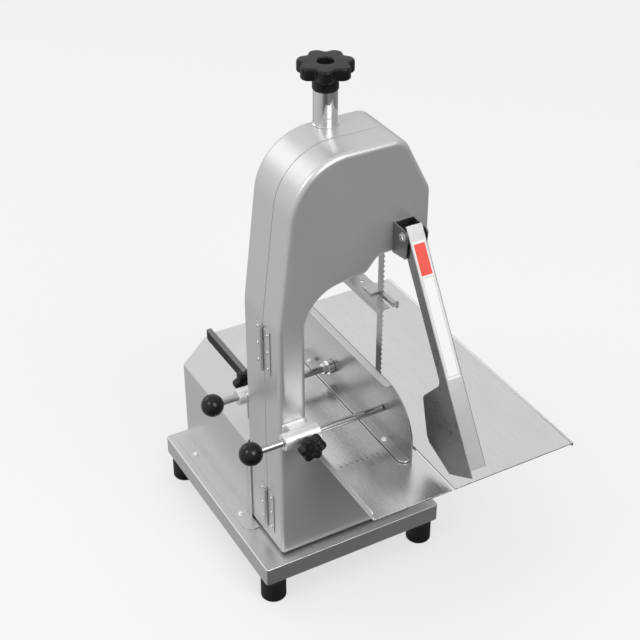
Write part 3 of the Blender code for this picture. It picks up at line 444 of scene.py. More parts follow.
def refine(name, mat):
    """The CAD node's own shape, with its faces merged, its round parts smooth and its edges eased."""
    bm = bmesh.new()
    bm.from_mesh(frame["nodes"][name].data)
    bmesh.ops.remove_doubles(bm, verts=bm.verts, dist=0.000002)
    bmesh.ops.dissolve_limit(bm, angle_limit=math.radians(0.5), verts=bm.verts, edges=bm.edges)
    bm.transform(Matrix.Translation(-ZERO))
    return stand_in(name, bm, mat, bevel=0.0003)


# ------------ base
def make_foot(name):
    """A turned rubber foot with four grooves and a narrower neck under the tray."""
    low, high = span(name)
    x, y, _ = middle(name)
    radius = (high.x - low.x) / 2
    groove_pitch, groove_depth, neck_r = 0.0030, 0.0012, 0.010
    profile = [(0.0, low.z), (radius - 0.004, low.z), (radius - 0.001, low.z + 0.001)]
    for k in range(4):
        z = low.z + 0.0025 + k * groove_pitch
        profile += [(radius, z), (radius, z + 0.0016), (radius - groove_depth, z + 0.0020),
                    (radius - groove_depth, z + 0.0026)]
    profile += [(radius, low.z + 0.016), (radius, -0.050), (radius - 0.0015, -0.0445),
                (radius - 0.005, -0.0395), (neck_r, -0.038), (neck_r, high.z), (0.0, high.z)]
    stand_in(name, lathe(profile, "Z", x, y, 64), RUBBER)


def make_base():
    corners = rectangle(TRAY[0].x, TRAY[0].y, TRAY[1].x, TRAY[1].y, 0.006)
    top, bottom, edge = TRAY[1].z, TRAY[0].z, 0.0025
    sections = []
    for angle in (0, 30, 60, 90):
        w = math.radians(angle)
        sections.append((rounded(inset(corners, edge * (1 - math.sin(w)))), top - edge * (1 - math.cos(w))))
    sections += [(rounded(corners), bottom), (rounded(inset(corners, SHEET)), bottom),
                 (rounded(inset(corners, SHEET)), top - SHEET - edge * 0.4)]
    stand_in("base_tray", loft(sections, "Z"), BRUSHED)
    for end in ("front", "rear"):
        for side in ("left", "right"):
            make_foot(f"foot_{end}_{side}")


# ------------ housing
def housing_corners():
    """The C outline of the housing, counter-clockwise in X and Z, seen from the front."""
    return [
        (HOUSE_X0, HOUSE_Z0, 0.006),
        (HOUSE_X1, HOUSE_Z0, 0.012),
        (HOUSE_X1, ARM_TOP_Z, 0.012),
        (COLUMN_X1, ARM_TOP_Z, 0.012),
        (COLUMN_X1, 0.516, 0.070),
        (0.199, 0.529, 0.020),
        (0.221, HEAD_BOTTOM_Z, 0.022),
        (HOUSE_X1, HEAD_BOTTOM_Z, 0.012),
        (HOUSE_X1, 0.652, 0.030),
        (0.262, HOUSE_Z1, 0.030),
        (0.075, HOUSE_Z1, 0.100),
        (HOUSE_X0, 0.468, 0.120),
    ]


def shell_half(face_y, open_y):
    """Half of the housing as bent sheet: a rounded edge at its face, and a hollow open at the seam."""
    side = 1 if open_y > face_y else -1
    corners = housing_corners()
    sections = []
    for k in range(9):
        w = math.radians(90 * k / 8)
        edge_in, edge_along = EDGE_R * (1 - math.sin(w)), EDGE_R * (1 - math.cos(w))
        sections.append((rounded(inset(corners, edge_in), 4), face_y + side * edge_along))
    relief = 0.0006               # the seam's edge is eased, so that it shows as a thin line
    sections += [(rounded(corners, 4), open_y - side * 2 * relief),
                 (rounded(inset(corners, relief * 0.4), 4), open_y - side * relief * 0.6),
                 (rounded(inset(corners, relief), 4), open_y),
                 (rounded(inset(corners, SHEET), 4), open_y),
                 (rounded(inset(corners, SHEET), 4), face_y + side * EDGE_R),
                 (rounded(inset(corners, EDGE_R * 0.5), 4), face_y + side * SHEET)]
    return loft(sections, "Y")


def eased_end(corners, edge, end):
    """The last sections of a solid that stops at end along its axis, with a rounded edge there."""
    turns = [math.radians(30 * k) for k in range(4)]
    return [(rounded(inset(corners, edge * (1 - math.cos(w)))), end - edge + edge * math.sin(w))
            for w in turns]


def blade_notch(z):
    """A box round the blade's right run, to cut the door where the blade passes through it at z."""
    return block((BLADE_X - 0.0076, TEETH_Y - 0.006, z - 0.012), (BLADE_X + 0.0054, SEAM_Y + 0.02, z + 0.012))


def make_housing():
    body = carve(shell_half(BACK_Y, SEAM_Y + SEAM_GAP),
                 rod("Z", TENSION_X, TENSION_Y, 0.0075, HOUSE_Z1 - CUT, HOUSE_Z1 + CUT),
                 rod("Y", WHEEL_X, LOWER_Z, 0.030, BACK_Y - CUT, BACK_Y + CUT))
    door = carve(shell_half(FRONT_Y, SEAM_Y - SEAM_GAP), blade_notch(HEAD_BOTTOM_Z), blade_notch(ARM_TOP_Z))

    # Each half has a tab on its right side, and the door's hand screw goes through both.
    lock = span("door_lock_knob")
    x, _, z = middle("door_lock_knob")
    body_tab_y, door_tab_y, tab_t, tab_reach, half_tab = SEAM_Y + 0.010, SEAM_Y - 0.012, 0.004, 0.026, 0.012
    tabs = []
    for y in (body_tab_y, door_tab_y):
        tab = rounded(rectangle(HOUSE_X1 - 0.001, z - half_tab, HOUSE_X1 + tab_reach, z + half_tab, 0.004))
        tabs.append(carve(prism(tab, "Y", y, y + tab_t), rod("Y", x, z, 0.0037, y - CUT, y + CUT)))
    stand_in("housing_body", together(body, tabs[0]), SATIN, sharp=40)
    stand_in("housing_door", together(door, tabs[1]), SATIN, sharp=40)
    knob_low, knob_high, stud_r = lock[0].y, door_tab_y - GAP, 0.0030
    flutes = scallops(x, z, 0.0125, 0.0112, 18, 1.0, 8)
    head = loft([(scaled(flutes, x, z, 0.90), knob_low), (flutes, knob_low + 0.0015),
                 (flutes, knob_high - 0.0015), (scaled(flutes, x, z, 0.92), knob_high)], "Y")
    stud = rod("Y", x, z, stud_r, knob_high - 0.001, lock[1].y, 24, 0.0006)
    stand_in("door_lock_knob", together(head, stud), KNOB_BLACK)


def screw_head(axis, a, b, radius, face, out, segments=24):
    """A domed head with a straight slot: face is the surface it sits on, out the way it points."""
    rise, sunk, shoulder = radius * 0.55, 0.0004, 0.25
    profile = [(0.0, face - out * sunk), (radius, face - out * sunk), (radius, face + out * rise * shoulder)]
    for degrees in (30, 55, 75):
        w = math.radians(degrees)
        profile.append((radius * math.cos(w), face + out * rise * (shoulder + (1 - shoulder) * math.sin(w))))
    profile.append((0.0, face + out * rise))
    head = lathe(profile, axis, a, b, segments)
    low, high = sorted((face + out * rise * 0.55, face + out * rise * 2))
    across, along = radius * 0.14, radius * 1.2
    slot = prism([(a - across, b - along), (a + across, b - along), (a + across, b + along),
                  (a - across, b + along)], axis, low, high)
    return carve(head, slot)


def make_hinges():
    leaf_t, leaf_near, leaf_far, leaf_corner = 0.0014, 0.0045, 0.024, 0.0022
    barrel_r, barrel_bore, pin_r, pin_past = 0.0035, 0.0020, 0.0016, 0.0008
    arm_near, arm_far = 0.0018, 0.006
    screw_r, screw_y, screw_inset = 0.0030, 0.0165, 0.010
    face_x = HOUSE_X0 - GAP
    for level in ("lower", "upper"):
        pin = span(f"hinge_{level}_pin")
        axis_x, axis_y, _ = middle(f"hinge_{level}_pin")
        z0, z1 = pin[0].z + pin_past, pin[1].z - pin_past
        third = (z1 - z0) / 3
        for leaf, side in (("fixed", 1), ("door", -1)):
            name = f"hinge_{level}_{leaf}_leaf"
            near, far = sorted((axis_y + side * leaf_near, axis_y + side * leaf_far))
            arm = sorted((axis_y + side * arm_near, axis_y + side * arm_far))
            solids = [prism(rounded(rectangle(near, z0, far, z1, leaf_corner)), "X", face_x - leaf_t, face_x)]
            knuckles = [(z0 + third, z0 + 2 * third)]
            if leaf == "fixed":
                knuckles = [(z0, z0 + third - GAP), (z0 + 2 * third + GAP, z1)]
            for low, high in knuckles:
                solids += [block((face_x - leaf_t, arm[0], low), (face_x - 0.0001, arm[1], high)),
                           ring("Z", axis_x, axis_y, barrel_r, barrel_bore, low, high, 32)]
            stand_in(name, together(*solids), SATIN, bevel=0.0002)
            screws = [screw_head("X", axis_y + side * screw_y, z, screw_r, face_x - leaf_t, -1)
                      for z in (z0 + screw_inset, (z0 + z1) / 2, z1 - screw_inset)]
            piece(f"{name}_screws", together(*screws), BODY_OF[name], CHROME)
        stand_in(f"hinge_{level}_pin", rod("Z", axis_x, axis_y, pin_r, pin[0].z, pin[1].z, 24, 0.0004), DARK)


# ------------ motor cover
def make_motor_cover():
    low, high = span("motor_cover")
    flange, flange_top, chamfer, side_z = 0.025, 0.0023, 0.047, 0.167
    bend, edge = 0.0028, 0.0018
    x0, x1, top, front, back = low.x + flange, high.x - flange, high.z, BACK_Y + GAP, high.y
    corners = [(x0, GAP, bend), (x1, GAP, bend), (x1, side_z, bend), (x1 - chamfer, top, bend),
               (x0 + chamfer, top, bend), (x0, side_z, bend)]
    sections = [(rounded(corners), front), *eased_end(corners, edge, back)]
    hollow = [(x, z if z > 0.01 else -0.01, 0.001) for x, z, _ in inset(corners, SHEET)]
    louvre_x0, louvre_x1, louvre_z0, louvre_z1, louvre_pitch = -0.063, -0.057, 0.060, 0.130, 0.020
    louvres = [block((WHEEL_X + louvre_x0 + i * louvre_pitch, back - CUT, louvre_z0),
                     (WHEEL_X + louvre_x1 + i * louvre_pitch, back + CUT, louvre_z1)) for i in range(7)]
    cord_x, cord_z, cord_hole_r = 0.240, 0.030, 0.0085
    cover = carve(loft(sections, "Y"), prism(rounded(hollow), "Y", front - CUT, back - SHEET), *louvres,
                  rod("Y", cord_x, cord_z, cord_hole_r, back - CUT, back + CUT))

    # The left flange runs on forwards beside the body, and the right one starts where the cover does.
    left_y, over = 0.104, 0.001
    left = [(low.x, left_y, 0.016), (x0 + over, left_y, 0.0), (x0 + over, back, 0.0), (low.x, back, 0.002)]
    right = [(x1 - over, front, 0.0), (high.x, front, 0.0), (high.x, back, 0.002), (x1 - over, back, 0.0)]
    flanges = [prism(rounded(outline), "Z", GAP, flange_top) for outline in (left, right)]
    lap = block((x0, BACK_Y - EDGE_R - 0.001, flange_top), (x0 + SHEET, front + 0.001, side_z - 0.004))
    bolts = []
    for x in (low.x + flange / 2, high.x - flange / 2):
        for y in (0.150, 0.340):
            bolts += [ring("Z", x, y, 0.0065, 0.001, 0.0020, 0.0031, 32),
                      screw_head("Z", x, y, 0.0048, 0.0030, 1, 32)]
    stand_in("motor_cover", together(cover, lap, *flanges), SATIN, bevel=0.0004)
    piece("motor_cover_bolts", together(*bolts), "root", CHROME)


# ------------ wheels and blade
def make_wheels():
    hub_r, web_r0, web_r1, rim_r0, rim_r1 = 0.022, 0.024, 0.072, 0.074, 0.0755
    half_web, edge = 0.003, 0.001
    hole_count, hole_circle_r, hole_r = 5, 0.048, 0.014
    y0, y1 = LOWER[0].y, LOWER[1].y
    for name, z, bore in (("lower_wheel", LOWER_Z, 0.0103), ("upper_wheel", UPPER_Z, 0.0165)):
        profile = [(bore, y0 + edge), (hub_r, y0 + edge), (web_r0, WHEEL_Y - half_web),
                   (web_r1, WHEEL_Y - half_web), (rim_r0, y0 + edge), (rim_r1, y0), (WHEEL_R - edge, y0),
                   (WHEEL_R, y0 + edge), (WHEEL_R, y1 - edge), (WHEEL_R - edge, y1), (rim_r0, y1),
                   (web_r1, WHEEL_Y + half_web), (web_r0, WHEEL_Y + half_web), (hub_r, y1), (bore, y1)]
        holes = []
        for i in range(hole_count):
            angle = math.radians(90 + 360 / hole_count * i)
            holes.append(rod("Y", WHEEL_X + hole_circle_r * math.cos(angle),
                             z + hole_circle_r * math.sin(angle), hole_r, WHEEL_Y - CUT, WHEEL_Y + CUT))
        stand_in(name, carve(lathe(profile, "Y", WHEEL_X, z, 96), *holes), CAST)


def make_blade():
    """The toothed band: up the right side, round the upper wheel, down the left and round the lower."""
    inner = WHEEL_R + GAP
    straight = UPPER_Z - LOWER_Z
    half_turn = math.pi * inner
    loop = 2 * (straight + half_turn)
    tooth_pitch = 0.0095
    teeth = round(loop / tooth_pitch)
    # Each tooth as (share of the pitch, depth behind the tips).
    shape = ((0.00, 0.0), (0.18, 0.0034), (0.45, 0.0044), (0.75, 0.0026))
    bm = bmesh.new()
    rings = []
    for i in range(teeth):
        for share, gullet in shape:
            s = loop * (i + share) / teeth
            if s < straight:
                out, spot = (1.0, 0.0), (WHEEL_X, LOWER_Z + s)
            elif s < straight + half_turn:
                w = (s - straight) / inner
                out, spot = (math.cos(w), math.sin(w)), (WHEEL_X, UPPER_Z)
            elif s < 2 * straight + half_turn:
                out, spot = (-1.0, 0.0), (WHEEL_X, UPPER_Z - (s - straight - half_turn))
            else:
                w = math.pi + (s - 2 * straight - half_turn) / inner
                out, spot = (math.cos(w), math.sin(w)), (WHEEL_X, LOWER_Z)
            section = []
            for reach, y in ((inner, TEETH_Y + gullet), (inner + BLADE_T, TEETH_Y + gullet),
                             (inner + BLADE_T, BLADE_BACK_Y), (inner, BLADE_BACK_Y)):
                section.append(bm.verts.new((spot[0] + out[0] * reach, y, spot[1] + out[1] * reach)))
            rings.append(section)
    for i, here in enumerate(rings):
        after = rings[(i + 1) % len(rings)]
        for k in range(4):
            n = (k + 1) % 4
            bm.faces.new((here[k], here[n], after[n], after[k]))
    stand_in("blade", bm, BLADE_STEEL)


# ------------ tension
def make_tension():
    x, y = TENSION_X, TENSION_Y
    radius, tube_wall, foot_z = (TUBE[1].x - TUBE[0].x) / 2, 0.0025, TUBE[0].z
    tube = ring("Z", x, y, radius, radius - tube_wall, foot_z, TUBE[1].z, 72)
    collar_in, collar_out, collar_h = radius - 0.0005, radius + 0.0016, 0.0016
    collar = lathe([(collar_in, foot_z), (collar_out, foot_z), (collar_out, foot_z + 0.0008),
                    (radius + 0.0008, foot_z + collar_h), (collar_in, foot_z + collar_h)], "Z", x, y, 72)
    stand_in("tension_tube", together(tube, collar), CHROME)

    tip, hollow_depth, lobes, per_lobe, turned = 0.0445, 0.0085, 7, 24, -16.5
    outline = scallops(x, y, tip, tip - hollow_depth, lobes, 1.5, per_lobe, turned)
    count = lobes * per_lobe
    top, low = KNOB[1].z, KNOB[0].z
    disc, hub = top - 0.020, 0.0205
    sections = [(circle(x, y, hub - 0.0015, count), low), (circle(x, y, hub, count), low + 0.0015),
                (circle(x, y, hub, count), disc - 0.001), (circle(x, y, hub + 0.001, count), disc)]
    for share, z in ((0.90, disc), (0.965, disc + 0.0006), (1.0, disc + 0.0026), (1.0, top - 0.0042),
                     (0.985, top - 0.0020), (0.955, top - 0.0006), (0.90, top)):
        sections.append((scaled(outline, x, y, share), z))
    for reach, z in ((0.0145, top), (0.0134, top - 0.0008), (0.0126, top - 0.0020), (0.0120, top - 0.0120)):
        sections.append((circle(x, y, reach, count), z))
    stand_in("tension_knob", loft(sections, "Z"), KNOB_BLACK, sharp=50)
    nut = rod("Z", x, y, 0.0098, top - 0.0119, top - 0.0090, 6, 0.0006)
    piece("tension_knob_nut", nut, "tension_knob", DARK, bevel=0.0003)


# ------------ table
def make_scale(blade_x):
    """A thickness scale beside the fence: a number and a short tick every 10 mm from the blade."""
    step, mark_t, half_tick = 0.010, 0.00008, 0.0003
    tick_y0, tick_y1, digits_y = -0.0465, -0.0445, -0.0545
    marks = []
    for i in range(6, 14):
        x = blade_x - step * i
        marks.append(block((x - half_tick, tick_y0, TABLE_TOP), (x + half_tick, tick_y1, TABLE_TOP + mark_t)))
        text = bpy.data.curves.new("digits", "FONT")
        text.body = str(i)
        text.size = 0.0068
        text.offset = 0.00012
        text.align_x = "CENTER"
        text.extrude = mark_t / 2
        holder = put("digits", text)
        bpy.context.view_layer.update()
        mesh = bpy.data.meshes.new_from_object(holder.evaluated_get(bpy.context.evaluated_depsgraph_get()))
        digits = bmesh.new()
        digits.from_mesh(mesh)
        digits.transform(Matrix.Translation((x, digits_y, TABLE_TOP + mark_t / 2)))
        bpy.data.objects.remove(holder, do_unlink=True)
        marks.append(digits)
    piece("table_scale", together(*marks), "root", INK)


def make_table():
    bottom = TABLE_TOP - TABLE_T
    x0, x1 = 0.0950, TABLE[1].x - 0.0005
    y0, y1 = TABLE[0].y + 0.0005, TABLE[1].y
    slot_x = (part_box("upper_guide_bracket")[0].x - ZERO.x) + 0.021
    slot, slot_y = 0.002, BLADE_BACK_Y + 0.006
    outline = [(x0, y0, 0.003), (slot_x - slot, y0, 0.001), (slot_x - slot, slot_y, 0.001),
               (slot_x + slot, slot_y, 0.001), (slot_x + slot, y0, 0.001), (x1, y0, 0.003), (x1, y1, 0.003),
               (x0, y1, 0.003)]
    lip_start, lip_end, lip_top = y0 + 0.004, FRONT_Y - 0.004, TABLE_TOP + 0.012
    lip = [(lip_start, bottom + 0.0008, 0.0), (lip_end, bottom + 0.0008, 0.0), (lip_end, lip_top, 0.001),
           (lip_start, lip_top, 0.0115)]
    bead = rectangle(x1 - 0.0035, bottom - 0.003, x1 + 0.0005, TABLE_TOP + 0.0015, 0.0018)
    stand_in("table_top",
             together(prism(rounded(outline), "Z", bottom, TABLE_TOP),
                      prism(rounded(lip, 5), "X", x0 + 0.0002, x0 + 0.0022),
                      prism(rounded(bead, 15), "Y", y0 - 0.0005, y1 - 0.001)),
             POLISHED, bevel=0.00045)
    make_scale(slot_x)

    low, high = span("table_edge_trim")
    hem_z = high.z - 0.0030
    strip_top = hem_z - 0.0001
    strip = [(low.y, low.z, 0.002), (high.y, low.z, 0.007), (high.y, strip_top, 0.0005),
             (low.y, strip_top, 0.0005)]
    hem = rectangle(low.y, hem_z, high.y, high.z, 0.0012)
    stand_in("table_edge_trim", prism(rounded(strip), "X", low.x, high.x), RUBBER, bevel=0.0005)
    piece("table_edge_hem", prism(rounded(hem), "X", low.x, high.x), "root", HEM_GREY,
          bevel=0.0008)


# ------------ fence and rods
def make_fence():
    y0, y1, z0, z1 = FENCE[0].y, FENCE[1].y, FENCE[0].z, FENCE[1].z
    front_curve, top_reach, foot_reach, flange_t = 0.080, 0.011, 0.016, 0.0022
    outline = rounded([(y0, z0, 0.0), (y1, z0, 0.0), (y1, z1, 0.002), (y0, z1, front_curve)], 3)
    x_in = FENCE_X + 0.001
    top_y, foot_y = y0 + 0.068, y0 + 0.004
    top = rounded([(FENCE_X - top_reach, top_y, 0.008), (x_in, top_y, 0.0), (x_in, y1, 0.0),
                   (FENCE_X - top_reach, y1, 0.002)])
    foot = rounded([(FENCE_X - foot_reach, foot_y, 0.012), (x_in, foot_y, 0.0), (x_in, y1, 0.0),
                    (FENCE_X - foot_reach, y1, 0.006)])
    # The plate's darker steel is painted shade; its flanges use the lighter brushed sheet.
    stand_in("fence_plate", prism(outline, "X", FENCE_X, FENCE_X + FENCE_T), FENCE_STEEL_PAINTED_SHADE, bevel=0.00045)
    piece("fence_flanges",
          together(prism(top, "Z", z1 - flange_t, z1 - 0.0001), prism(foot, "Z", z0 + 0.0001, z0 + flange_t)),
          "fence", BRUSHED, bevel=0.00045)
    for name in ("fence_glide_front", "fence_glide_rear"):
        low, high = span(name)
        x, y, _ = middle(name)
        radius = (high.x - low.x) / 2
        stem_r, head_z = 0.0024, z0 + 0.0024
        button = lathe([(0.0, low.z), (radius, low.z), (radius, z0 - GAP), (stem_r, z0 - GAP),
                        (stem_r, head_z), (radius - 0.0003, head_z), (radius - 0.0008, z0 + 0.0036),
                        (radius - 0.0022, high.z - 0.0004), (0.0, high.z)], "Z", x, y, 40)
        stand_in(name, button, NYLON)


def make_rods():
    for end in ("front", "rear"):
        low, high = span(f"{end}_rod")
        ball_low, ball_high = span(f"{end}_rod_ball")
        _, y, z = middle(f"{end}_rod")
        radius = (high.y - low.y) / 2
        stand_in(f"{end}_rod", rod("X", y, z, radius, low.x, high.x, 48, 0.0008), ROD_CHROME)
        ball_r = (ball_high.x - ball_low.x) / 2
        centre = middle(f"{end}_rod_ball")[0]
        mouth, arcs = radius + GAP, 24
        profile = [(0.0, ball_low.x)]
        last = 90 - math.degrees(math.asin((mouth + 0.0012) / ball_r))
        for k in range(1, arcs + 1):
            w = math.radians(-90 + (last + 90) * k / arcs)
            profile.append((ball_r * math.cos(w), centre + ball_r * math.sin(w)))
        profile += [(mouth, profile[-1][1] + 0.0002), (mouth, low.x - 0.0005), (0.0, low.x - 0.0005)]
        stand_in(f"{end}_rod_ball", lathe(profile, "X", y, z, 64), BLACK, sharp=45)

    low, high = span("rear_rod_collar")
    _, y, z = middle("rear_rod_collar")
    nut_r, washer_r, bore, washer_x = 0.0100, 0.0125, 0.0063, low.x + 0.0095
    nut = carve(rod("X", y, z, nut_r, low.x, washer_x, 6, 0.0008),
                rod("X", y, z, bore, low.x - CUT, high.x + CUT))
    washer = ring("X", y, z, washer_r, bore, washer_x, high.x)
    stand_in("rear_rod_collar", together(nut, washer), CHROME, bevel=0.0004)


def make_clamps():
    boss, bore, edge, lead = 0.0145, 0.0063, 0.0020, 0.0006
    plate_x0, plate_x1, plate_drop, plate_rise = 0.0430, 0.0870, 0.042, 0.014
    neck_x0, neck_x1, half_neck = 0.050, 0.082, 0.0115
    bolt_r, bolt_washer_r = 0.0040, 0.0052
    for end, wall, side in (("front", FRONT_Y, -1), ("rear", BACK_Y, 1)):
        _, y, z = middle(f"{end}_rod")
        low, high = span(f"{end}_rod_bracket")
        barrel = lathe([(bore, low.x + lead), (bore + lead, low.x), (boss - edge, low.x),
                        (boss - edge * 0.3, low.x + edge * 0.3), (boss, low.x + edge), (boss, high.x - edge),
                        (boss - edge * 0.3, high.x - edge * 0.3), (boss - edge, high.x),
                        (bore + lead, high.x), (bore, high.x - lead)], "X", y, z, 64)
        plate_y = sorted((wall + side * GAP, wall + side * 0.004))
        plate = prism(rounded(rectangle(plate_x0, z - plate_drop, plate_x1, z + plate_rise, 0.005)), "Y",
                      *plate_y)
        neck_y = sorted((wall + side * 0.003, y - side * 0.0085))
        neck = block((neck_x0, neck_y[0], z - half_neck), (neck_x1, neck_y[1], z + half_neck))
        stand_in(f"{end}_rod_bracket", together(barrel, plate, neck), CAST, bevel=0.0010)
        face = wall + side * 0.0038
        reach = sorted((face, wall + side * 0.0062))
        bolts = []
        for x in (0.0505, 0.0795):
            for drop in (0.021, 0.035):
                bolts += [rod("Y", x, z - drop, bolt_washer_r, *sorted((face, face + side * 0.0008)), 32),
                          rod("Y", x, z - drop, bolt_r, *reach, 6, 0.0005)]
        piece(f"{end}_bracket_bolts", together(*bolts), BODY_OF[f"{end}_rod_bracket"], CHROME,
              bevel=0.0002)

        knob_x = middle(f"{end}_clamp_knob")[0]
        outline = scallops(knob_x, z, 0.0235, 0.0178, 6, 1.4, 24)
        count = len(outline)
        stud = y + side * (0.006 + 0.0012)
        # The stud and the hub as (radius, distance from the rod), then the star as (share, distance).
        sections = [(circle(knob_x, z, 0.0038, count), stud)]
        for radius, out in ((0.0040, 0.0178), (0.0110, 0.0180), (0.0110, 0.0262)):
            sections.append((circle(knob_x, z, radius, count), y + side * out))
        for share, out in ((0.88, 0.0262), (0.97, 0.0270), (1.0, 0.0290), (1.0, 0.0375), (0.96, 0.0402),
                           (0.86, 0.0416), (0.62, 0.0419), (0.44, 0.0410), (0.40, 0.0396)):
            sections.append((scaled(outline, knob_x, z, share), y + side * out))
        stand_in(f"{end}_clamp_knob", loft(sections, "Y"), KNOB_BLACK, sharp=50)


# ------------ pusher
def leaned(y, z):
    """A point of the hanging channel, its y behind its face and its z down its length, once it leans."""
    c, s = math.cos(PUSHER_LEAN), math.sin(PUSHER_LEAN)
    return (PIVOT_Y + y * c - z * s, PIVOT_Z - z * c - y * s)


def patch(left, right, start, stop, base, height):
    """A thin patch on the channel's front face: left to right across it and start to stop down it."""
    near, far = PUSHER_FACE - base - height, PUSHER_FACE - base
    outline = [leaned(near, start), leaned(far, start), leaned(far, stop), leaned(near, stop)]
    return prism(outline, "X", PUSHER[0].x + left, PUSHER[0].x + right)


def make_label():
    """A plain sticker on the pusher: a white base, a red block and a thin border."""
    base_t, print_t, print_base, line = 0.00014, 0.00008, 0.00016, 0.0004
    left, right, start, stop = 0.0050, 0.0250, 0.069, 0.228
    piece("pusher_label_base", patch(0.0035, 0.0265, 0.012, 0.232, 0.0, base_t), "pusher", LABEL)
    piece("pusher_label_block", patch(left, right, 0.016, 0.066, print_base, print_t), "pusher", LABEL_RED)
    border = [patch(*sides, *ends, print_base, print_t)
              for sides, ends in (((left, left + line), (start, stop)),
                                  ((right - line, right), (start, stop)),
                                  ((left + line, right - line), (start, start + line)),
                                  ((left + line, right - line), (stop - line, stop)))]
    piece("pusher_label_border", together(*border), "pusher", INK)


def make_pusher():
    x0, x1 = PUSHER[0].x, PUSHER[1].x
    depth, wall, end, top, face = 0.022, 0.0018, PUSHER_LENGTH, -0.014, PUSHER_FACE
    # The left flange widens into a foot, whose lower back edge has teeth from first to last.
    first, last = (0.0990, end - 0.050), (0.0620, end - 0.0025)
    side = rounded([(face, top, 0.0), (face + depth, top + 0.004, 0.0), (face + depth, end - 0.152, 0.014),
                    (0.080, end - 0.132, 0.012), (0.101, end - 0.065, 0.010), (*first, 0.0), (*last, 0.0),
                    (0.036, end - 0.001, 0.0), (face, end, 0.0)])
    run = Vector(last) - Vector(first)
    along = run.normalized()
    teeth, tooth_depth, root_share = 12, 0.0032, 0.3
    notches = []
    for i in range(teeth):
        start = Vector(first) + run * (i / teeth)
        root = start + along * (root_share * run.length / teeth) + Vector((-along.y, along.x)) * tooth_depth
        notches += [tuple(root)] if i == 0 else [tuple(start), tuple(root)]
    after_first = side.index(first) + 1
    side[after_first:after_first] = notches
    web_end = end - 0.012
    plain = [(face, top), (face + depth, top + 0.004), (face + depth, end - 0.030), (face + 0.010, web_end),
             (face, web_end)]
    web = [(face, top), (face + wall, top), (face + wall, web_end), (face, web_end)]
    flanges = [prism([leaned(y, z) for y, z in side], "X", x0, x0 + wall),
               prism([leaned(y, z) for y, z in plain], "X", x1 - wall, x1)]
    flanges = [carve(f, rod("X", PIVOT_Y, PIVOT_Z, 0.0039, x0 - CUT, x1 + CUT)) for f in flanges]
    # The flanges' darker steel is painted shade; the web uses the lighter brushed sheet.
    stand_in("pusher_arm", together(*flanges), PUSHER_STEEL_PAINTED_SHADE, bevel=0.0006)
    back_sheet = prism([leaned(y, z) for y, z in web], "X", x0 + 0.0001, x1 - 0.0001)
    piece("pusher_web", back_sheet, "pusher", BRUSHED, bevel=0.0006)
    make_label()

    low, high = span("pusher_bracket")
    ear_x, ear_t = (x0 - 0.0035, x1 + 0.0015), 0.002
    ears = []
    for x in ear_x:
        ear = rounded([(FRONT_Y - 0.0004, high.z, 0.0), (FRONT_Y - 0.0004, low.z, 0.0),
                       (-0.022, low.z + 0.006, 0.003), (-0.027, high.z - 0.002, 0.006)])
        hole = rod("X", PIVOT_Y, PIVOT_Z, 0.0040, x - CUT, x + CUT)
        ears.append(carve(prism(ear, "X", x, x + ear_t), hole))
    back = block((ear_x[0] + 0.0001, FRONT_Y - 0.0025, low.z + 0.0001),
                 (ear_x[1] + 0.0019, FRONT_Y - GAP, high.z - 0.0001))
    stand_in("pusher_bracket", together(back, *ears), DARK, bevel=0.0005)

    pin_r, washer_r, washer_t, head_r = 0.0035, 0.0078, 0.0010, 0.0062
    pin = rod("X", PIVOT_Y, PIVOT_Z, pin_r, ear_x[0] - 0.001, ear_x[1] + 0.0065, 32)
    heads = []
    for near, far in ((ear_x[0] - 0.0055, ear_x[0] - GAP), (ear_x[1] + ear_t + GAP, ear_x[1] + 0.0068)):
        flat = far - washer_t if near < x0 else near
        heads += [rod("X", PIVOT_Y, PIVOT_Z, washer_r, flat, flat + washer_t, 40),
                  rod("X", PIVOT_Y, PIVOT_Z, head_r, near, far, 6, 0.0008)]
    stand_in("pusher_pivot_bolt", together(pin, *heads), CHROME, bevel=0.0003)


# ------------ switch
def make_switch():
    low, high = span("switch_box")
    corners = rectangle(low.y, low.z, high.y, high.z, 0.006)
    edge, well_r, well_depth, bezel_r, bezel_bore = 0.002, 0.0120, 0.014, 0.0150, 0.0121
    sections = [(rounded(corners), low.x), *eased_end(corners, edge, high.x)]
    wells, bezels, caps = [], [], []
    for name, mat in (("start_button", GREEN), ("stop_button", RED)):
        a, b = span(name)
        _, y, z = middle(name)
        wells.append(rod("X", y, z, well_r, high.x - well_depth, high.x + CUT))
        bezels.append(ring("X", y, z, bezel_r, bezel_bore, high.x - 0.0002, high.x + 0.0018))
        radius = (b.y - a.y) / 2
        cap = [(0.0, a.x), (radius, a.x), (radius, b.x - 0.0030), (radius - 0.0006, b.x - 0.0014),
               (radius - 0.0022, b.x - 0.0003), (radius - 0.0040, b.x), (0.0, b.x - 0.0006)]
        caps.append((name, lathe(cap, "X", y, z), mat))
    stand_in("switch_box", carve(loft(sections, "X"), *wells), KNOB_BLACK)
    piece("switch_bezels", together(*bezels), "root", CHROME, bevel=0.0004)
    for name, cap, mat in caps:
        stand_in(name, cap, mat)


# ------------ the rest keeps its CAD shape
def refine_rest():
    """Every CAD node that nothing stands for yet: its own shape, with eased edges and a full material."""
    own = {"table_bracket_front": BRUSHED, "table_bracket_rear": BRUSHED, "upper_guide_bracket": SATIN,
           "upper_guide_hook": BRUSHED, "cable_gland": KNOB_BLACK}
    for name, obj in sorted(frame["nodes"].items()):
        if not obj.hide_render:
            refine(name, own.get(name, MATERIALS[SLOT_OF[name]]))


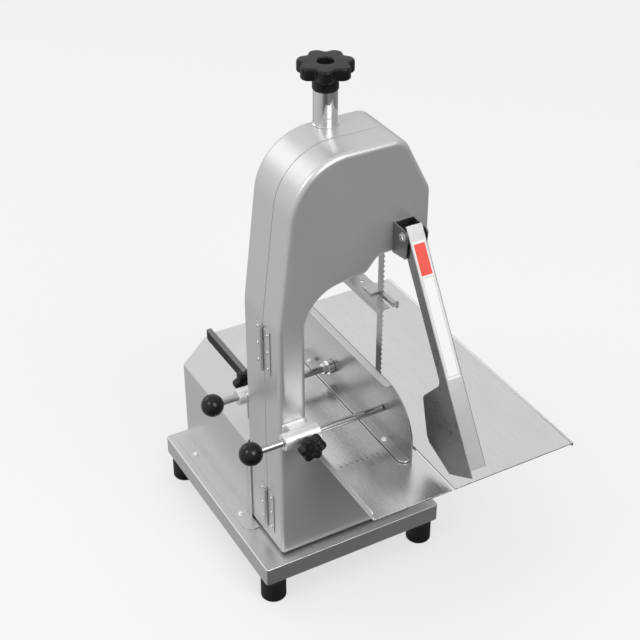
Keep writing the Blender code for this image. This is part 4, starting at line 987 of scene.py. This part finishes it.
# ------------ stage
BACKDROP = (0.905, 0.905, 0.905)
LAMP_AIM = Vector((0.18, 0.10, 0.35))
LAMPS = (("key", (-2.6, -0.2, 3.2), 28.0, 1.5),          # name, place, watts and size
         ("fill", (0.6, -3.0, 3.0), 72.0, 2.2),
         ("back", (-1.2, 2.8, 2.2), 10.0, 1.6))
LENS_MM, SENSOR_MM = 77.92, 36.0
CAMERA_SPOT = Vector((-0.7605, -1.5402, 1.6852))
CAMERA_DOWN, CAMERA_TURN = 34.20, -29.31                 # degrees below level, and turned to the right


def make_floor():
    reach = 6.0
    floor_mesh = bpy.data.meshes.new("floor")
    floor_mesh.from_pydata([(-reach, -reach, 0), (reach, -reach, 0), (reach, reach, 0), (-reach, reach, 0)],
                           [], [(0, 1, 2, 3)])
    paper = surface("studio_floor", (0.26, 0.26, 0.26), (0.85, 0.95), 0.0, (20, 20, 20), 0.004, 1.0, 0.0,
                    specular=0.0)
    glow = paper.node_tree.nodes["Principled BSDF"].inputs
    glow["Emission Color"].default_value = (1.0, 1.0, 1.0, 1.0)
    glow["Emission Strength"].default_value = 0.62
    floor_mesh.materials.append(paper)
    floor = put("floor", floor_mesh)
    floor.location.z = CAD_BOX[0].z
    floor.visible_glossy = False
    floor.visible_diffuse = False


def make_world():
    """A studio that metal reflects, light above and darker below, before a plain pale backdrop."""
    world = bpy.data.worlds.new("studio")
    world.use_nodes = True
    bpy.context.scene.world = world
    tree = world.node_tree
    link = tree.links.new
    tree.nodes.clear()
    out = node(tree, "ShaderNodeOutputWorld")
    direction = node(tree, "ShaderNodeTexCoord")
    ramp = node(tree, "ShaderNodeValToRGB")
    stops = [(0.00, 0.06), (0.12, 0.14), (0.30, 0.37), (0.50, 0.60), (0.75, 0.88), (1.00, 1.00)]
    for position, value in stops[2:]:
        ramp.color_ramp.elements.new(position)
    for element, (position, value) in zip(ramp.color_ramp.elements, stops):
        element.position = position
        element.color = (value, value, value, 1.0)
    # Height, turned a little towards the left and the back, gives light tops and a darker front.
    mix = node(tree, "ShaderNodeVectorMath")
    mix.operation = "DOT_PRODUCT"
    mix.inputs[1].default_value = (-0.14, 0.16, 0.34)
    link(direction.outputs["Generated"], mix.inputs[0])
    lift = node(tree, "ShaderNodeMath")
    lift.operation = "ADD"
    lift.inputs[1].default_value = 0.5
    link(mix.outputs["Value"], lift.inputs[0])
    link(lift.outputs[0], ramp.inputs["Fac"])
    # Two dark patches of the studio, behind the object and in front of it, give round metal the dark
    # streaks that it shows.
    level = ramp.outputs["Color"]
    for axis, wide, narrow, keep in (((0.405, 0.722, -0.562), 0.80, 0.95, 0.25),
                                     ((-0.38, -0.66, -0.65), 0.86, 0.97, 0.35)):
        facing = node(tree, "ShaderNodeVectorMath")
        facing.operation = "DOT_PRODUCT"
        facing.inputs[1].default_value = axis
        link(direction.outputs["Generated"], facing.inputs[0])
        shade = node(tree, "ShaderNodeMapRange")
        shade.interpolation_type = "SMOOTHSTEP"
        shade.inputs["From Min"].default_value = wide
        shade.inputs["From Max"].default_value = narrow
        shade.inputs["To Min"].default_value = 1.0
        shade.inputs["To Max"].default_value = keep
        link(facing.outputs["Value"], shade.inputs["Value"])
        dim = node(tree, "ShaderNodeVectorMath")
        dim.operation = "MULTIPLY"
        link(level, dim.inputs[0])
        link(shade.outputs["Result"], dim.inputs[1])
        level = dim.outputs["Vector"]
    light = node(tree, "ShaderNodeBackground", Strength=1.0)
    link(level, light.inputs["Color"])
    plain = node(tree, "ShaderNodeBackground", Color=(*BACKDROP, 1.0), Strength=1.0)
    seen = node(tree, "ShaderNodeLightPath")
    choose = node(tree, "ShaderNodeMixShader")
    link(seen.outputs["Is Camera Ray"], choose.inputs[0])
    link(light.outputs[0], choose.inputs[1])
    link(plain.outputs[0], choose.inputs[2])
    link(choose.outputs[0], out.inputs["Surface"])


def make_lamps():
    for name, spot, power, size in LAMPS:
        lamp = bpy.data.lights.new(name, "AREA")
        lamp.energy = power
        lamp.size = size
        holder = put(name, lamp)
        holder.location = ZERO + Vector(spot)
        holder.rotation_euler = (ZERO + LAMP_AIM - holder.location).to_track_quat("-Z", "Y").to_euler()


def make_camera():
    lens = bpy.data.cameras.new("camera")
    lens.lens = LENS_MM
    lens.sensor_width = SENSOR_MM
    camera = put("camera", lens)
    camera.location = ZERO + CAMERA_SPOT
    camera.rotation_euler = (math.radians(90.0 - CAMERA_DOWN), 0.0, math.radians(CAMERA_TURN))
    bpy.context.scene.camera = camera
    bpy.context.scene.view_settings.view_transform = "Standard"


make_base()
make_housing()
make_hinges()
make_motor_cover()
make_wheels()
make_blade()
make_tension()
make_table()
make_fence()
make_rods()
make_clamps()
make_pusher()
make_switch()
refine_rest()
make_floor()
make_world()
make_lamps()
make_camera()
